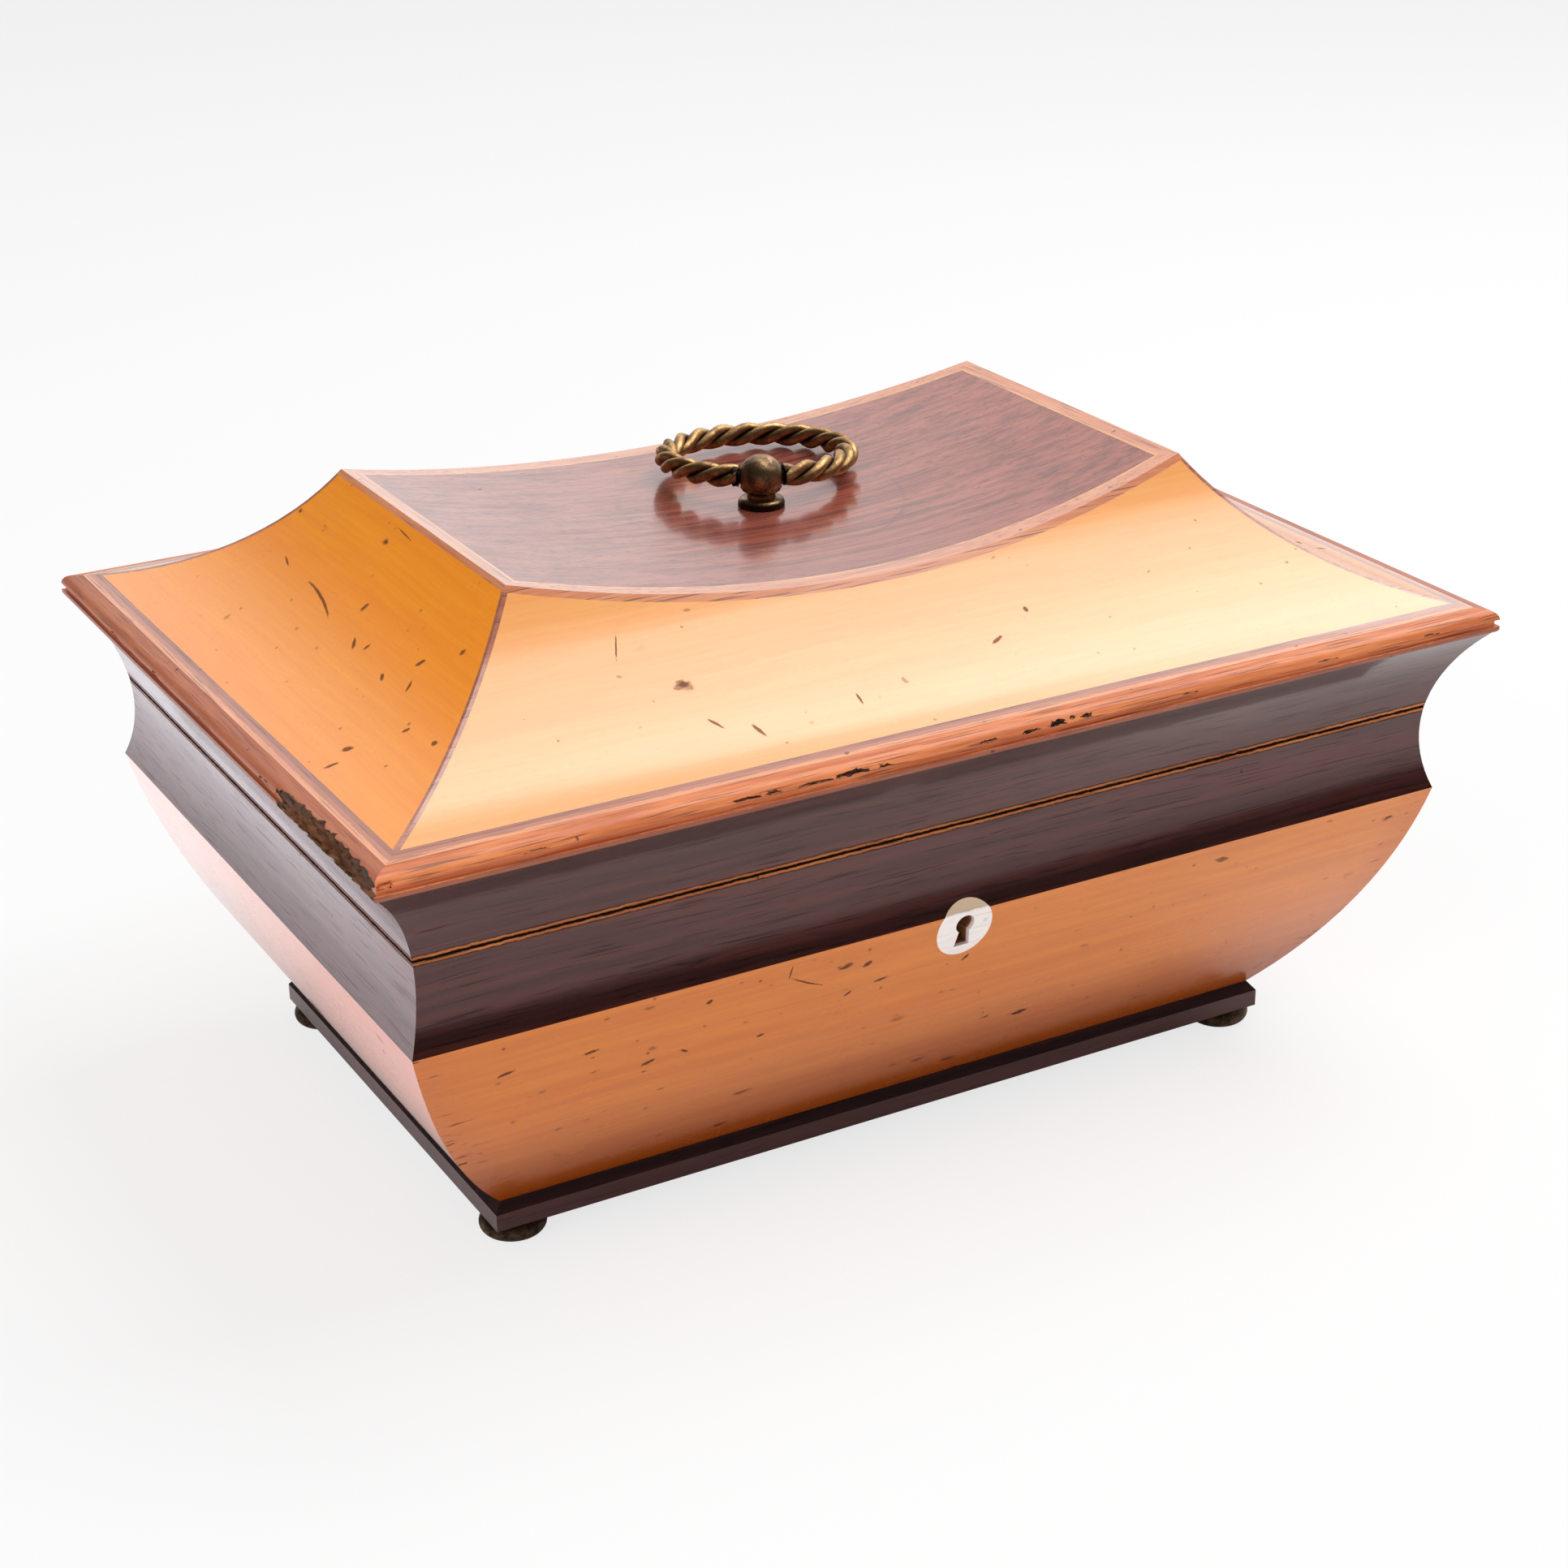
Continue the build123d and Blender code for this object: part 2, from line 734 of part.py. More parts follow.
def handle_post():
    """Collar, neck, cross-drilled ball and the stud that goes down through the lid."""
    low = -ball_height + post_lift
    ball = Sphere(ball_radius)
    neck = Pos(0, 0, low / 2) * Cylinder(neck_radius, -low)
    collar = Pos(0, 0, low + collar_height / 2) * Cylinder(collar_radius, collar_height)
    rim = collar.edges().filter_by(GeomType.CIRCLE).sort_by(Axis.Z)[-1]
    collar = fillet(rim, collar_round)
    stud_low = -ball_height - veneer - top_board_thickness - nut_height - stud_tail
    stud = Pos(0, 0, stud_low / 2) * Cylinder(stud_radius, -stud_low)
    bore = Rot(0, 90, 0) * Cylinder(ring_pivot_radius + ring_pivot_clearance, 3 * ball_radius)
    return handle_place(ball + neck + collar + stud - bore)


def handle_nut():
    top = -ball_height - veneer - top_board_thickness - post_lift
    plan = RegularPolygon(nut_across / 2, 6, major_radius=False) - Circle(stud_radius)
    return handle_place(extrude(Plane.XY.offset(top - nut_height) * plan, nut_height))


def ring_handle():
    """The ring with the two pivots that run into the ball."""
    start = degrees(asin((ball_radius + ring_ball_gap) / ring_radius))
    arc = CenterArc((0, 0), ring_radius, start, 360 - 2 * start)
    path = Plane.XY * (Pos(0, ring_radius) * Rot(0, 0, -90) * arc)
    profile = Plane(origin=path @ 0, z_dir=path % 0) * Circle(ring_rope_radius)
    ring = sweep(profile, path=path)
    inner = ball_radius - ring_pivot_reach
    outer = ball_radius + ring_ball_gap + ring_rope_radius / 2
    for side in (-1, 1):
        ring = ring + rod((side * inner, 0, 0), (side * outer, 0, 0), ring_pivot_radius)
    return handle_place(Rot(-ring_tilt(), 0, 0) * ring)


def stud_hole():
    depth = veneer + top_board_thickness + reach / 2
    return Pos(0, 0, panel_z) * Cylinder(stud_radius + stud_clearance, 2 * depth)


# Tray

tray_half_x = half_length - wall_inset - tray_side_gap
tray_half_y = half_depth - wall_inset - tray_side_gap
tray_low = ledge_top
tray_floor_top = tray_low + tray_floor
tray_top = tray_low + tray_height
divider_top = tray_top - tray_divider_drop


def tray_bottom():
    inner_x = tray_half_x - tray_wall
    inner_y = tray_half_y - tray_wall
    return block(-inner_x, inner_x, -inner_y, inner_y, tray_low, tray_floor_top)


def tray_side(side):
    section = area(0, tray_low, -tray_wall, tray_top)
    across = side in ("front", "back")
    inset = wall_inset + tray_side_gap
    piece = mitred(Pos(-inset, 0) * section, side)
    if across:
        return piece
    sx = 1 if side == "right" else -1
    notch_inner = sx * (tray_half_x - 2 * tray_wall)
    notch_outer = sx * (tray_half_x + tray_wall)
    notch = rod((notch_inner, 0, tray_top), (notch_outer, 0, tray_top), finger_notch_radius)
    return piece - notch


def tray_dividers():
    """Two long dividers, two across the middle, and two in each end."""
    inner_x = tray_half_x - tray_wall
    inner_y = tray_half_y - tray_wall
    half = tray_divider / 2
    long_x = inner_x - tray_end_length
    middle = tray_middle_depth / 2
    pieces = []
    for side in (-1, 1):
        x0 = side * (long_x - half)
        x1 = side * (long_x + half)
        pieces.append(block(x0, x1, -inner_y, inner_y, tray_floor_top, divider_top))
        y0 = side * (middle - half)
        y1 = side * (middle + half)
        pieces.append(block(-long_x + half, long_x - half, y0, y1, tray_floor_top, divider_top))
        for end in (-1, 1):
            pieces.append(block(end * (long_x + half), end * inner_x, y0, y1, tray_floor_top, divider_top))
    return pieces


def pincushion():
    """A velvet cushion that fills the middle compartment, crowned above and drawn in at its sides."""
    half_x = tray_half_x - tray_wall - tray_end_length - tray_divider / 2 - cushion_gap
    half_y = tray_middle_depth / 2 - tray_divider / 2 - cushion_gap
    levels = (
        (tray_floor_top, cushion_foot_draw),
        (tray_floor_top + cushion_belly_share * (divider_top - tray_floor_top), 0),
        (divider_top - cushion_crown, cushion_shoulder_draw),
        (divider_top, cushion_edge_draw),
        (divider_top + cushion_crown, cushion_top_draw))
    rings = [Plane.XY.offset(z) * RectangleRounded(2 * (half_x - draw), 2 * (half_y - draw), cushion_corner)
             for z, draw in levels]
    return loft(rings, ruled=True)


# Building the base

lock_cut = lock_pocket()
keyhole = keyhole_cut()
escutcheon = escutcheon_blank()
base_hinge_cut = hinge_cut(False)
base_hinge_screws = [spot for x in hinge_centres for spot in hinge_screw_places(x, False)]
lock_screws = [(place, (0, -1, 0)) for place in lock_screw_places()]

for side in side_turn:
    board = mitred(base_board_section(), side)
    panel = mitred(base_panel_section(), side)
    moulding = mitred(base_moulding_section(), side) - bar(base_line_section(), side)
    if side == "front":
        board = board - lock_cut - keyhole
        panel = panel - escutcheon - keyhole
        moulding = moulding - escutcheon - lock_cut - keyhole
        for place, direction in lock_screws:
            board = board - screw_hole(place, direction)
            moulding = moulding - screw_hole(place, direction)
    if side == "back":
        board = board - base_hinge_cut
        moulding = moulding - base_hinge_cut
        for place, direction in base_hinge_screws:
            board = board - screw_hole(place, direction)
            moulding = moulding - screw_hole(place, direction)
    save(f"base_board_{side}", board)
    save(f"base_panel_{side}", panel)
    save(f"base_moulding_{side}", moulding)

base_lines = [mitred(base_line_section(), side) for side in ("front", "right", "left")]
base_lines.append(mitred(base_line_section(), "back") - base_hinge_cut)
save("base_seam_line", *base_lines)
feet_cut = foot_holes()
save("plinth_moulding", *[mitred(plinth_section(), side) - feet_cut for side in side_turn])
save("bottom_board", bottom_board())
save("bun_feet", *[Pos(x, y, 0) * foot() for x, y in foot_places()])
save("lining_paper", lining_paper())
save("tray_ledges", tray_ledge(-1), tray_ledge(1))
save("escutcheon", escutcheon - keyhole)
save("lock_plate", lock_plate())
save("lock_case", lock_case())
save("lock_bolt", lock_bolt())
save("key_pin", key_pin())
save("base_hinge_leaves", *[hinge_leaf_piece(x, False) for x in hinge_centres])
save("hinge_pins", *[hinge_pin(x) for x in hinge_centres])
save("base_screws", *[screw(place, direction) for place, direction in base_hinge_screws + lock_screws])

# Building the lid

lid_hinge_cut = hinge_cut(True)
lid_screws = [spot for x in hinge_centres for spot in hinge_screw_places(x, True)]
lid_screws += [(place, (0, 0, 1)) for place in link_screw_places()]
link_cut = block(
    -link_plate_length / 2, link_plate_length / 2, bay_front, lock_case_back,
    lid_bottom, lid_bottom + link_plate_thickness)
hips = hip_plates()
under_panel = saddle_body(veneer)
under_board = saddle_body(veneer + top_board_thickness)
hip_strings = {name: None for name in hips}

for side in side_turn:
    board = mitred(lid_board_section(), side) - under_board
    moulding = mitred(lid_moulding_section(), side) - bar(lid_line_section(), side)
    cove = mitred(cove_section(), side) - under_panel
    for name, plate in hips.items():
        if side in name:
            part = cove & plate
            hip_strings[name] = part if hip_strings[name] is None else hip_strings[name] + part
            cove = cove - plate
    if side == "front":
        board = board - link_cut
        moulding = moulding - link_cut
    if side == "back":
        board = board - lid_hinge_cut
        moulding = moulding - lid_hinge_cut
    if side in ("front", "back"):
        for place, direction in lid_screws:
            board = board - screw_hole(place, direction)
            moulding = moulding - screw_hole(place, direction)
    save(f"lid_board_{side}", board)
    save(f"lid_moulding_{side}", moulding)
    save(f"cove_panel_{side}", cove)

lid_lines = [mitred(lid_line_section(), side) for side in ("front", "right", "left")]
lid_lines.append(mitred(lid_line_section(), "back") - lid_hinge_cut)
save("lid_seam_line", *lid_lines)
save("rim_edge", *[mitred(rim_edge_section(), side) for side in side_turn])
save("rim_line", *[mitred(rim_skin_section(rim_edge_width, rim_line_width), side) for side in side_turn])
save("rim_string", *[mitred(rim_skin_section(rim_edge_width + rim_line_width, rim_string_width), side)
                     for side in side_turn])
save("hip_strings", *hip_strings.values())

hole = stud_hole()
panel_layer = saddle_shell(0, veneer)
board_layer = saddle_shell(veneer, veneer + top_board_thickness)
save("top_board", board_layer - cove_cylinders(veneer) - hole)
save("top_panel", panel_layer - cove_cylinders(band_width + band_line_width) - hole)
borders = (("top_banding", 0, band_width), ("top_line", band_width, band_width + band_line_width))
for name, inner, outer in borders:
    skin = ring_area(cove_centre, cove_radius + inner, cove_radius + outer)
    skin = skin & area(-half_depth, rim_top, -cove_start_inset, panel_corner_z + reach)
    save(name, *[mitred(skin, side) & panel_layer for side in side_turn])

save("pad_board", pad_board())
save("silk_pad", silk_pad())
save("link_plate", link_plate())
save("lid_hinge_leaves", *[hinge_leaf_piece(x, True) for x in hinge_centres])
save("lid_screws", *[screw(place, direction) for place, direction in lid_screws])
save("handle_post", handle_post())
save("handle_nut", handle_nut())
save("ring_handle", ring_handle())

# Building the tray

save("tray_bottom", tray_bottom())
save("tray_sides", *[tray_side(side) for side in side_turn])
save("tray_dividers", *tray_dividers())
save("pincushion", pincushion())

print("joint: lid hinge at y", round(hinge_y, 3), "z", round(seam_z, 3), "opens", lid_opening)
print("joint: ring about z", round(ball_z, 3), "tilt", round(ring_tilt(), 3))
print("tray lift", round(lid_bottom + pad_board_height - pad_thickness - tray_top - cushion_gap, 2))
print("levels: floor", floor_top, "ledge", ledge_top, "seam", seam_z, "panel", panel_z, panel_corner_z)
print("keyhole z", keyhole_z, "saddle radius", saddle_radius)
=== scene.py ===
import bmesh
import bpy
import json
from math import asin, cos, pi, radians, sin
from mathutils import Matrix, Vector


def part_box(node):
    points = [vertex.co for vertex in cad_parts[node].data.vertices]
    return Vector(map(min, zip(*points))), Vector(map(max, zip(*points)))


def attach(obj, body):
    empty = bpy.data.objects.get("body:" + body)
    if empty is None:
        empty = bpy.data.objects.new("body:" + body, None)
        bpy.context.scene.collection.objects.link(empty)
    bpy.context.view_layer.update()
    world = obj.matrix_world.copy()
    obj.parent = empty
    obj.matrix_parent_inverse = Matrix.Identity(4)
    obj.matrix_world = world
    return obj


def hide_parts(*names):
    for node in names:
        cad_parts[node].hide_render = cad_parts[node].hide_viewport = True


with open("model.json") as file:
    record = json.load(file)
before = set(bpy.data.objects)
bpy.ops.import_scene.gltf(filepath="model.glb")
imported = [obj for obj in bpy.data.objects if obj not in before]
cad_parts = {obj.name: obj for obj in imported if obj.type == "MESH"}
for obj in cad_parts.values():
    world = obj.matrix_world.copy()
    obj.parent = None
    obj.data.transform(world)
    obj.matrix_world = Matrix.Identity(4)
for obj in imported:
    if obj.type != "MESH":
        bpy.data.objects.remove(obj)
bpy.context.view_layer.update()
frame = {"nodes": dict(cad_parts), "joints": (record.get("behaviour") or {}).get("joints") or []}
nodes = frame["nodes"]
mm = 0.001
halfLength, halfDepth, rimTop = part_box("rim_edge")[1]
print("stage: frame loaded,", len(nodes), "nodes")

# small helpers for node trees

tree = None  # the node tree that is open, in which the helpers draw


def openTree(owner):
    global tree
    owner.use_nodes = True
    tree = owner.node_tree
    tree.nodes.clear()


def setSocket(socket, value):
    if isinstance(value, bpy.types.NodeSocket):
        tree.links.new(value, socket)
    else:
        socket.default_value = value


def setAll(sockets, values):
    for name, value in values.items():
        setSocket(sockets[name], value)


def put(kind, inputs, **settings):
    item = tree.nodes.new(kind)
    for name, value in settings.items():
        setattr(item, name, value)
    setAll(item.inputs, inputs)
    return item


def calc(operation, first, second=0.5, clamp=False):
    return put("ShaderNodeMath", {0: first, 1: second}, operation=operation, use_clamp=clamp).outputs[0]


def times(first, second):
    return calc("MULTIPLY", first, second)


def plus(first, second, clamp=False):
    return calc("ADD", first, second, clamp)


def minus(first, second, clamp=False):
    return calc("SUBTRACT", first, second, clamp)


def larger(first, second):
    return calc("MAXIMUM", first, second)


def vectorMath(operation, first, second):
    return put("ShaderNodeVectorMath", {0: first, 1: second}, operation=operation).outputs[0]


def scaleVector(vector, share):
    return put("ShaderNodeVectorMath", {0: vector, "Scale": share}, operation="SCALE").outputs[0]


def stretch(vector, shares):
    return vectorMath("MULTIPLY", vector, shares)


def parts(vector):
    return put("ShaderNodeSeparateXYZ", {0: vector}).outputs


def mixColor(factor, first, second):
    inputs = {0: factor, 6: first, 7: second}
    return put("ShaderNodeMix", inputs, data_type="RGBA", clamp_factor=True).outputs[2]


def ramp(factor, stops):
    item = put("ShaderNodeValToRGB", {0: factor})
    points = item.color_ramp.elements
    while len(points) < len(stops):
        points.new(0.5)
    for point, (place, color) in zip(points, stops):
        point.position = place
        point.color = color
    return item.outputs[0]


def noise(vector, scale, detail=3.0, roughness=0.55, distortion=0.0):
    return put("ShaderNodeTexNoise", {
        "Vector": vector, "Scale": scale, "Detail": detail, "Roughness": roughness,
        "Distortion": distortion}).outputs


def steps(value, low, high, start=0.0, end=1.0):
    return put("ShaderNodeMapRange", {
        0: value, 1: low, 2: high, 3: start, 4: end}, interpolation_type="SMOOTHSTEP", clamp=True).outputs[0]


def startGroup(name, inputs, outputs):
    global tree
    tree = bpy.data.node_groups.new(name, "ShaderNodeTree")
    kinds = {"v": "NodeSocketVector", "f": "NodeSocketFloat"}
    for label, kind, value in inputs:
        socket = tree.interface.new_socket(label, in_out="INPUT", socket_type=kinds[kind])
        if value is not None:
            socket.default_value = value
    for label, kind in outputs:
        tree.interface.new_socket(label, in_out="OUTPUT", socket_type=kinds[kind])
    return tree.nodes.new("NodeGroupInput").outputs, tree.nodes.new("NodeGroupOutput").inputs


def useGroup(group, inputs):
    return put("ShaderNodeGroup", inputs, node_tree=group).outputs


def srgb(red, green, blue):
    def straight(value):
        value = value / 255
        return value / 12.92 if value <= 0.04045 else ((value + 0.055) / 1.055) ** 2.4
    return (straight(red), straight(green), straight(blue), 1)


# shared effects: each is built once and used in many finishes

def makeGrain():
    # Vector is in millimetres with the grain along X
    given, result = startGroup("grainFigure", [
        ("Vector", "v", None), ("Stretch", "f", 14.0), ("Band Scale", "f", 0.25), ("Fibre Scale", "f", 1.6),
        ("Wander", "f", 3.0), ("Seed", "f", 0.0)], [("Bands", "f"), ("Fibre", "f"), ("Pores", "f")])
    shifted = vectorMath("ADD", given["Vector"], put("ShaderNodeCombineXYZ", {
        0: given["Seed"], 1: given["Seed"], 2: given["Seed"]}).outputs[0])
    slow = stretch(shifted, (0.011, 0.03, 0.03))
    drift = vectorMath("SUBTRACT", noise(slow, 1.0, 2.0)["Color"], (0.5, 0.5, 0.5))
    wandered = vectorMath("ADD", shifted, scaleVector(drift, given["Wander"]))
    narrow = calc("DIVIDE", 1.0, given["Stretch"])
    squeeze = put("ShaderNodeCombineXYZ", {0: narrow, 1: 1.0, 2: 1.0}).outputs[0]
    stretched = stretch(wandered, squeeze)
    bands = noise(stretched, given["Band Scale"], 4.0, 0.62, 0.2)["Fac"]
    fibre = noise(stretched, given["Fibre Scale"], 3.0, 0.6)["Fac"]
    pores = noise(stretch(wandered, (0.05, 2.3, 2.3)), 1.0, 1.0)["Fac"]
    setAll(result, {
        "Bands": steps(bands, 0.28, 0.72), "Fibre": steps(fibre, 0.25, 0.75),
        "Pores": steps(pores, 0.57, 0.70)})
    return tree


def makeKnocks():
    # small dark dents and nicks: Size is the spacing of their cells in millimetres
    given, result = startGroup("knocks", [
        ("Vector", "v", None), ("Size", "f", 9.0), ("Share", "f", 0.3), ("Radius", "f", 0.1),
        ("Ragged", "f", 1.4)], [("Mask", "f")])
    rough = noise(given["Vector"], 0.9, 2.0)["Color"]
    rough = vectorMath("SUBTRACT", rough, (0.5, 0.5, 0.5))
    ragged = vectorMath("ADD", given["Vector"], scaleVector(rough, given["Ragged"]))
    cells = put("ShaderNodeTexVoronoi", {
        "Vector": ragged, "Scale": calc("DIVIDE", 1.0, given["Size"]), "Randomness": 1.0})
    pick = put("ShaderNodeSeparateColor", {0: cells.outputs["Color"]})
    chosen = calc("LESS_THAN", pick.outputs[0], given["Share"])
    reach = times(given["Radius"], plus(pick.outputs[1], 0.35))
    near = minus(1.0, calc("DIVIDE", cells.outputs["Distance"], reach), clamp=True)
    mask = steps(near, 0.0, 0.55)
    setAll(result, {"Mask": times(mask, chosen)})
    return tree


def makeHairlines():
    # hair-thin scratches and cracks that come and go
    given, result = startGroup("hairlines", [
        ("Vector", "v", None), ("Spacing", "f", 14.0), ("Width", "f", 0.012), ("Share", "f", 0.5)],
        [("Mask", "f")])
    bent = vectorMath("ADD", given["Vector"], stretch(
        noise(given["Vector"], 0.12, 3.0)["Color"], (6.0, 6.0, 6.0)))
    cells = put("ShaderNodeTexVoronoi", {
        "Vector": bent, "Scale": calc("DIVIDE", 1.0, given["Spacing"])}, feature="DISTANCE_TO_EDGE")
    line = minus(1.0, steps(cells.outputs["Distance"], 0.0, given["Width"]))
    where = noise(given["Vector"], 0.045, 2.0)["Fac"]
    shown = steps(where, minus(1.0, given["Share"]), minus(1.12, given["Share"]))
    setAll(result, {"Mask": times(line, shown)})
    return tree


def makePolish():
    # hand-rubbed polish: cloudy gloss, faint ripples and dust specks
    given, result = startGroup("rubbedPolish", [
        ("Vector", "v", None), ("Gloss", "f", 0.14), ("Cloud", "f", 0.10)],
        [("Roughness", "f"), ("Ripple", "f")])
    cloud = noise(given["Vector"], 0.05, 4.0, 0.6)["Fac"]
    rub = noise(stretch(given["Vector"], (0.02, 0.5, 0.5)), 1.0, 3.0)["Fac"]
    mixed = times(plus(cloud, times(rub, 0.5)), given["Cloud"])
    ripple = noise(given["Vector"], 0.16, 2.0)["Fac"]
    setAll(result, {"Roughness": plus(given["Gloss"], mixed, clamp=True), "Ripple": ripple})
    return tree


def makeScar():
    # one dent or scratch at a place on the face: half its length and width in millimetres, bent by Bend
    given, result = startGroup("scar", [
        ("Vector", "v", None), ("Place", "v", None), ("Turn", "f", 0.0), ("Length", "f", 2.0),
        ("Width", "f", 0.4), ("Bend", "f", 0.0)], [("Mask", "f")])
    rough = noise(given["Vector"], 1.3, 2.0)["Fac"]
    away = parts(vectorMath("SUBTRACT", given["Vector"], given["Place"]))
    turnCos, turnSin = calc("COSINE", given["Turn"]), calc("SINE", given["Turn"])
    along = plus(times(away[0], turnCos), times(away[2], turnSin))
    across = minus(times(away[2], turnCos), times(away[0], turnSin))
    across = minus(across, times(given["Bend"], times(along, along)))
    along, across = calc("DIVIDE", along, given["Length"]), calc("DIVIDE", across, given["Width"])
    reach = plus(times(along, along), times(across, across))
    reach = plus(reach, times(minus(rough, 0.5), 1.8))
    setAll(result, {"Mask": minus(1.0, steps(reach, 0.35, 1.1))})
    return tree


def makeFrameGrain():
    # turns the grain of the two short sides of a mitred frame, so that it runs along them
    given, result = startGroup("frameGrain", [
        ("Vector", "v", None), ("Half Length", "f", 150.0), ("Half Depth", "f", 100.0)],
        [("Vector", "v"), ("Inset", "f"), ("Short", "f")])
    place = parts(given["Vector"])
    inX = minus(given["Half Length"], calc("ABSOLUTE", place[0]))
    inY = minus(given["Half Depth"], calc("ABSOLUTE", place[1]))
    short = calc("LESS_THAN", inX, inY)
    turned = put("ShaderNodeCombineXYZ", {0: place[1], 1: place[0], 2: place[2]}).outputs[0]
    chosen = put("ShaderNodeMix", {0: short, 4: given["Vector"], 5: turned}, data_type="VECTOR").outputs[1]
    setAll(result, {"Vector": chosen, "Inset": calc("MINIMUM", inX, inY), "Short": short})
    return tree


grainFigure = makeGrain()
frameGrain = makeFrameGrain()
scar = makeScar()
knocks = makeKnocks()
hairlines = makeHairlines()
rubbedPolish = makePolish()


# finishes

def startFinish(name, turn=0.0):  # turn is the angle about Z that brings the grain onto X
    material = bpy.data.materials.new(name)
    openTree(material)
    shader = tree.nodes.new("ShaderNodeBsdfPrincipled")
    put("ShaderNodeOutputMaterial", {0: shader.outputs[0]})
    place = tree.nodes.new("ShaderNodeTexCoord").outputs["Object"]
    mapped = put("ShaderNodeMapping", {
        "Vector": place, "Rotation": (0, 0, radians(turn)), "Scale": (1000, 1000, 1000)}).outputs[0]
    return material, shader, mapped


def setSurface(shader, color, roughness, height, distance):
    bump = put("ShaderNodeBump", {"Height": height, "Distance": distance, "Strength": 1.0})
    setAll(shader.inputs, {"Base Color": color, "Roughness": roughness, "Normal": bump.outputs[0]})


def grain(vector, length, band, fibre, wander, seed):
    return useGroup(grainFigure, {
        "Vector": vector, "Stretch": length, "Band Scale": band, "Fibre Scale": fibre, "Wander": wander,
        "Seed": seed})


def scatter(vector, size, share, radius, ragged):
    return useGroup(knocks, {
        "Vector": vector, "Size": size, "Share": share, "Radius": radius, "Ragged": ragged})["Mask"]


def setPolish(shader, worn, coat=1.0, level=0.25, tint=(1, 1, 1, 1), coatRoughness=0.10):
    # worn is the share of the polish that is missing
    left = minus(1.0, worn, clamp=True)
    setAll(shader.inputs, {
        "Coat Weight": times(left, coat), "Specular IOR Level": level, "Specular Tint": tint,
        "Coat Roughness": coatRoughness})


# a scar: along and up the face in mm, turn in degrees, half length, half width, bend
satinwoodLook = {
    "front": {
        "base": srgb(222, 124, 30), "deep": srgb(184, 86, 16), "pale": srgb(236, 146, 50),
        "mark": srgb(58, 24, 12), "broad": 0.50, "streak": 0.34, "fibre": 0.30, "knocks": 0.70,
        "specks": 0.60, "fine": 0.6, "cracks": 0.30, "slant": 28.0, "mitre": 0.8, "grime": 0.35,
        # foot is a painted shade colour for the lowest part of the body, where dullFoot also takes the coat
        # off
        "foot": srgb(140, 54, 4), "dullFoot": 0.9, "scars": [
            (-47.1, 69.0, 80, 2.3, 0.22, 0),
            (-42.4, 64.8, -28, 5.4, 0.24, 0.01), (-81.6, 53.1, 14, 2.2, 0.55, 0),
            (-72.5, 53.6, -32, 1.5, 0.35, 0), (-67.9, 66.9, 20, 0.9, 0.6, 0), (-52.3, 51.5, 8, 1.1, 0.5, 0),
            (-26.0, 65.4, 24, 1.5, 0.65, 0), (-21.5, 59.2, 8, 2.2, 0.4, 0), (2.2, 58.8, 42, 1.4, 0.45, 0),
            (-97.0, 61.5, 6, 2.3, 0.45, 0), (-118.0, 62.0, 10, 2.4, 0.5, 0), (-30.0, 57.5, 30, 1.2, 0.4, 0)]},
    "side": {
        "base": srgb(220, 116, 40), "deep": srgb(182, 82, 20), "pale": srgb(234, 140, 64),
        "mark": srgb(66, 26, 14), "broad": 0.50, "streak": 0.34, "fibre": 0.26, "knocks": 0.15,
        "specks": 0.12, "fine": 0.05, "cracks": 0.1, "slant": 28.0, "foot": srgb(146, 62, 8), "dullFoot": 0.0,
        "scars": []},
    # the front cove's colours are paler and pinker than the side cove's: a painted sheen for the overhead
    # light that the front cove catches
    "coveFront": {
        "base": srgb(240, 166, 96), "deep": srgb(222, 138, 64), "pale": srgb(248, 186, 122),
        "mark": srgb(104, 56, 26), "broad": 0.45, "streak": 0.24, "fibre": 0.24, "knocks": 0.22,
        "specks": 0.50, "fine": 0.25, "cracks": 0.25, "slant": 20.0, "coatRoughness": 0.2,
        "scars": [
            (-71.7, 142.2, 60, 2.7, 0.22, 0), (31.7, 134.5, 0, 0.7, 0.5, 0),
            (-58.0, 128.4, -30, 1.6, 0.3, 0), (-49.5, 126.6, -40, 1.3, 0.45, 0),
            (-22.0, 127.5, 80, 0.8, 0.4, 0), (20.0, 131.0, 12, 2.0, 0.3, 0)]},
    "coveSide": {
        "base": srgb(246, 147, 22), "deep": srgb(224, 112, 8), "pale": srgb(252, 166, 38),
        "mark": srgb(88, 38, 12), "broad": 0.40, "streak": 0.26, "fibre": 0.26, "knocks": 0.22,
        "specks": 0.55, "fine": 0.25, "cracks": 0.25, "slant": 25.0, "scarSize": 0.86, "coatRoughness": 0.2,
        "scars": [
            (-17.3, 137.0, -6, 14.0, 0.34, -0.0047), (-42.9, 137.9, -10, 3.0, 0.25, 0),
            (2.2, 139.7, 50, 1.3, 0.85, 0), (11.0, 134.9, -20, 2.4, 0.45, 0), (16.5, 135.6, 60, 0.9, 0.6, 0),
            (39.1, 138.5, 35, 1.5, 0.7, 0), (49.9, 143.5, 20, 1.0, 0.8, 0), (42.9, 135.2, -40, 1.5, 0.5, 0),
            (31.6, 133.9, -15, 1.7, 0.4, 0), (-3.6, 153.8, -4, 6.0, 0.22, 0), (-55.5, 145.8, 0, 1.0, 0.6, 0),
            (52.2, 124.4, 30, 1.0, 0.5, 0), (49.2, 126.1, 10, 1.8, 0.5, 0), (69.0, 131.9, 0, 1.2, 0.5, 0),
            (57.0, 131.0, 25, 0.9, 0.5, 0)]},
}


def flatten(mapped):
    return stretch(mapped, (1, 0, 1))


def addScars(mapped, scars, size):
    total = 0.0
    for along, up, turn, length, width, bend in scars:
        mask = useGroup(scar, {
            "Vector": flatten(mapped), "Place": (along, 0, up), "Turn": radians(turn),
            "Length": length * size, "Width": width * size, "Bend": bend})["Mask"]
        total = larger(total, mask)
    return total


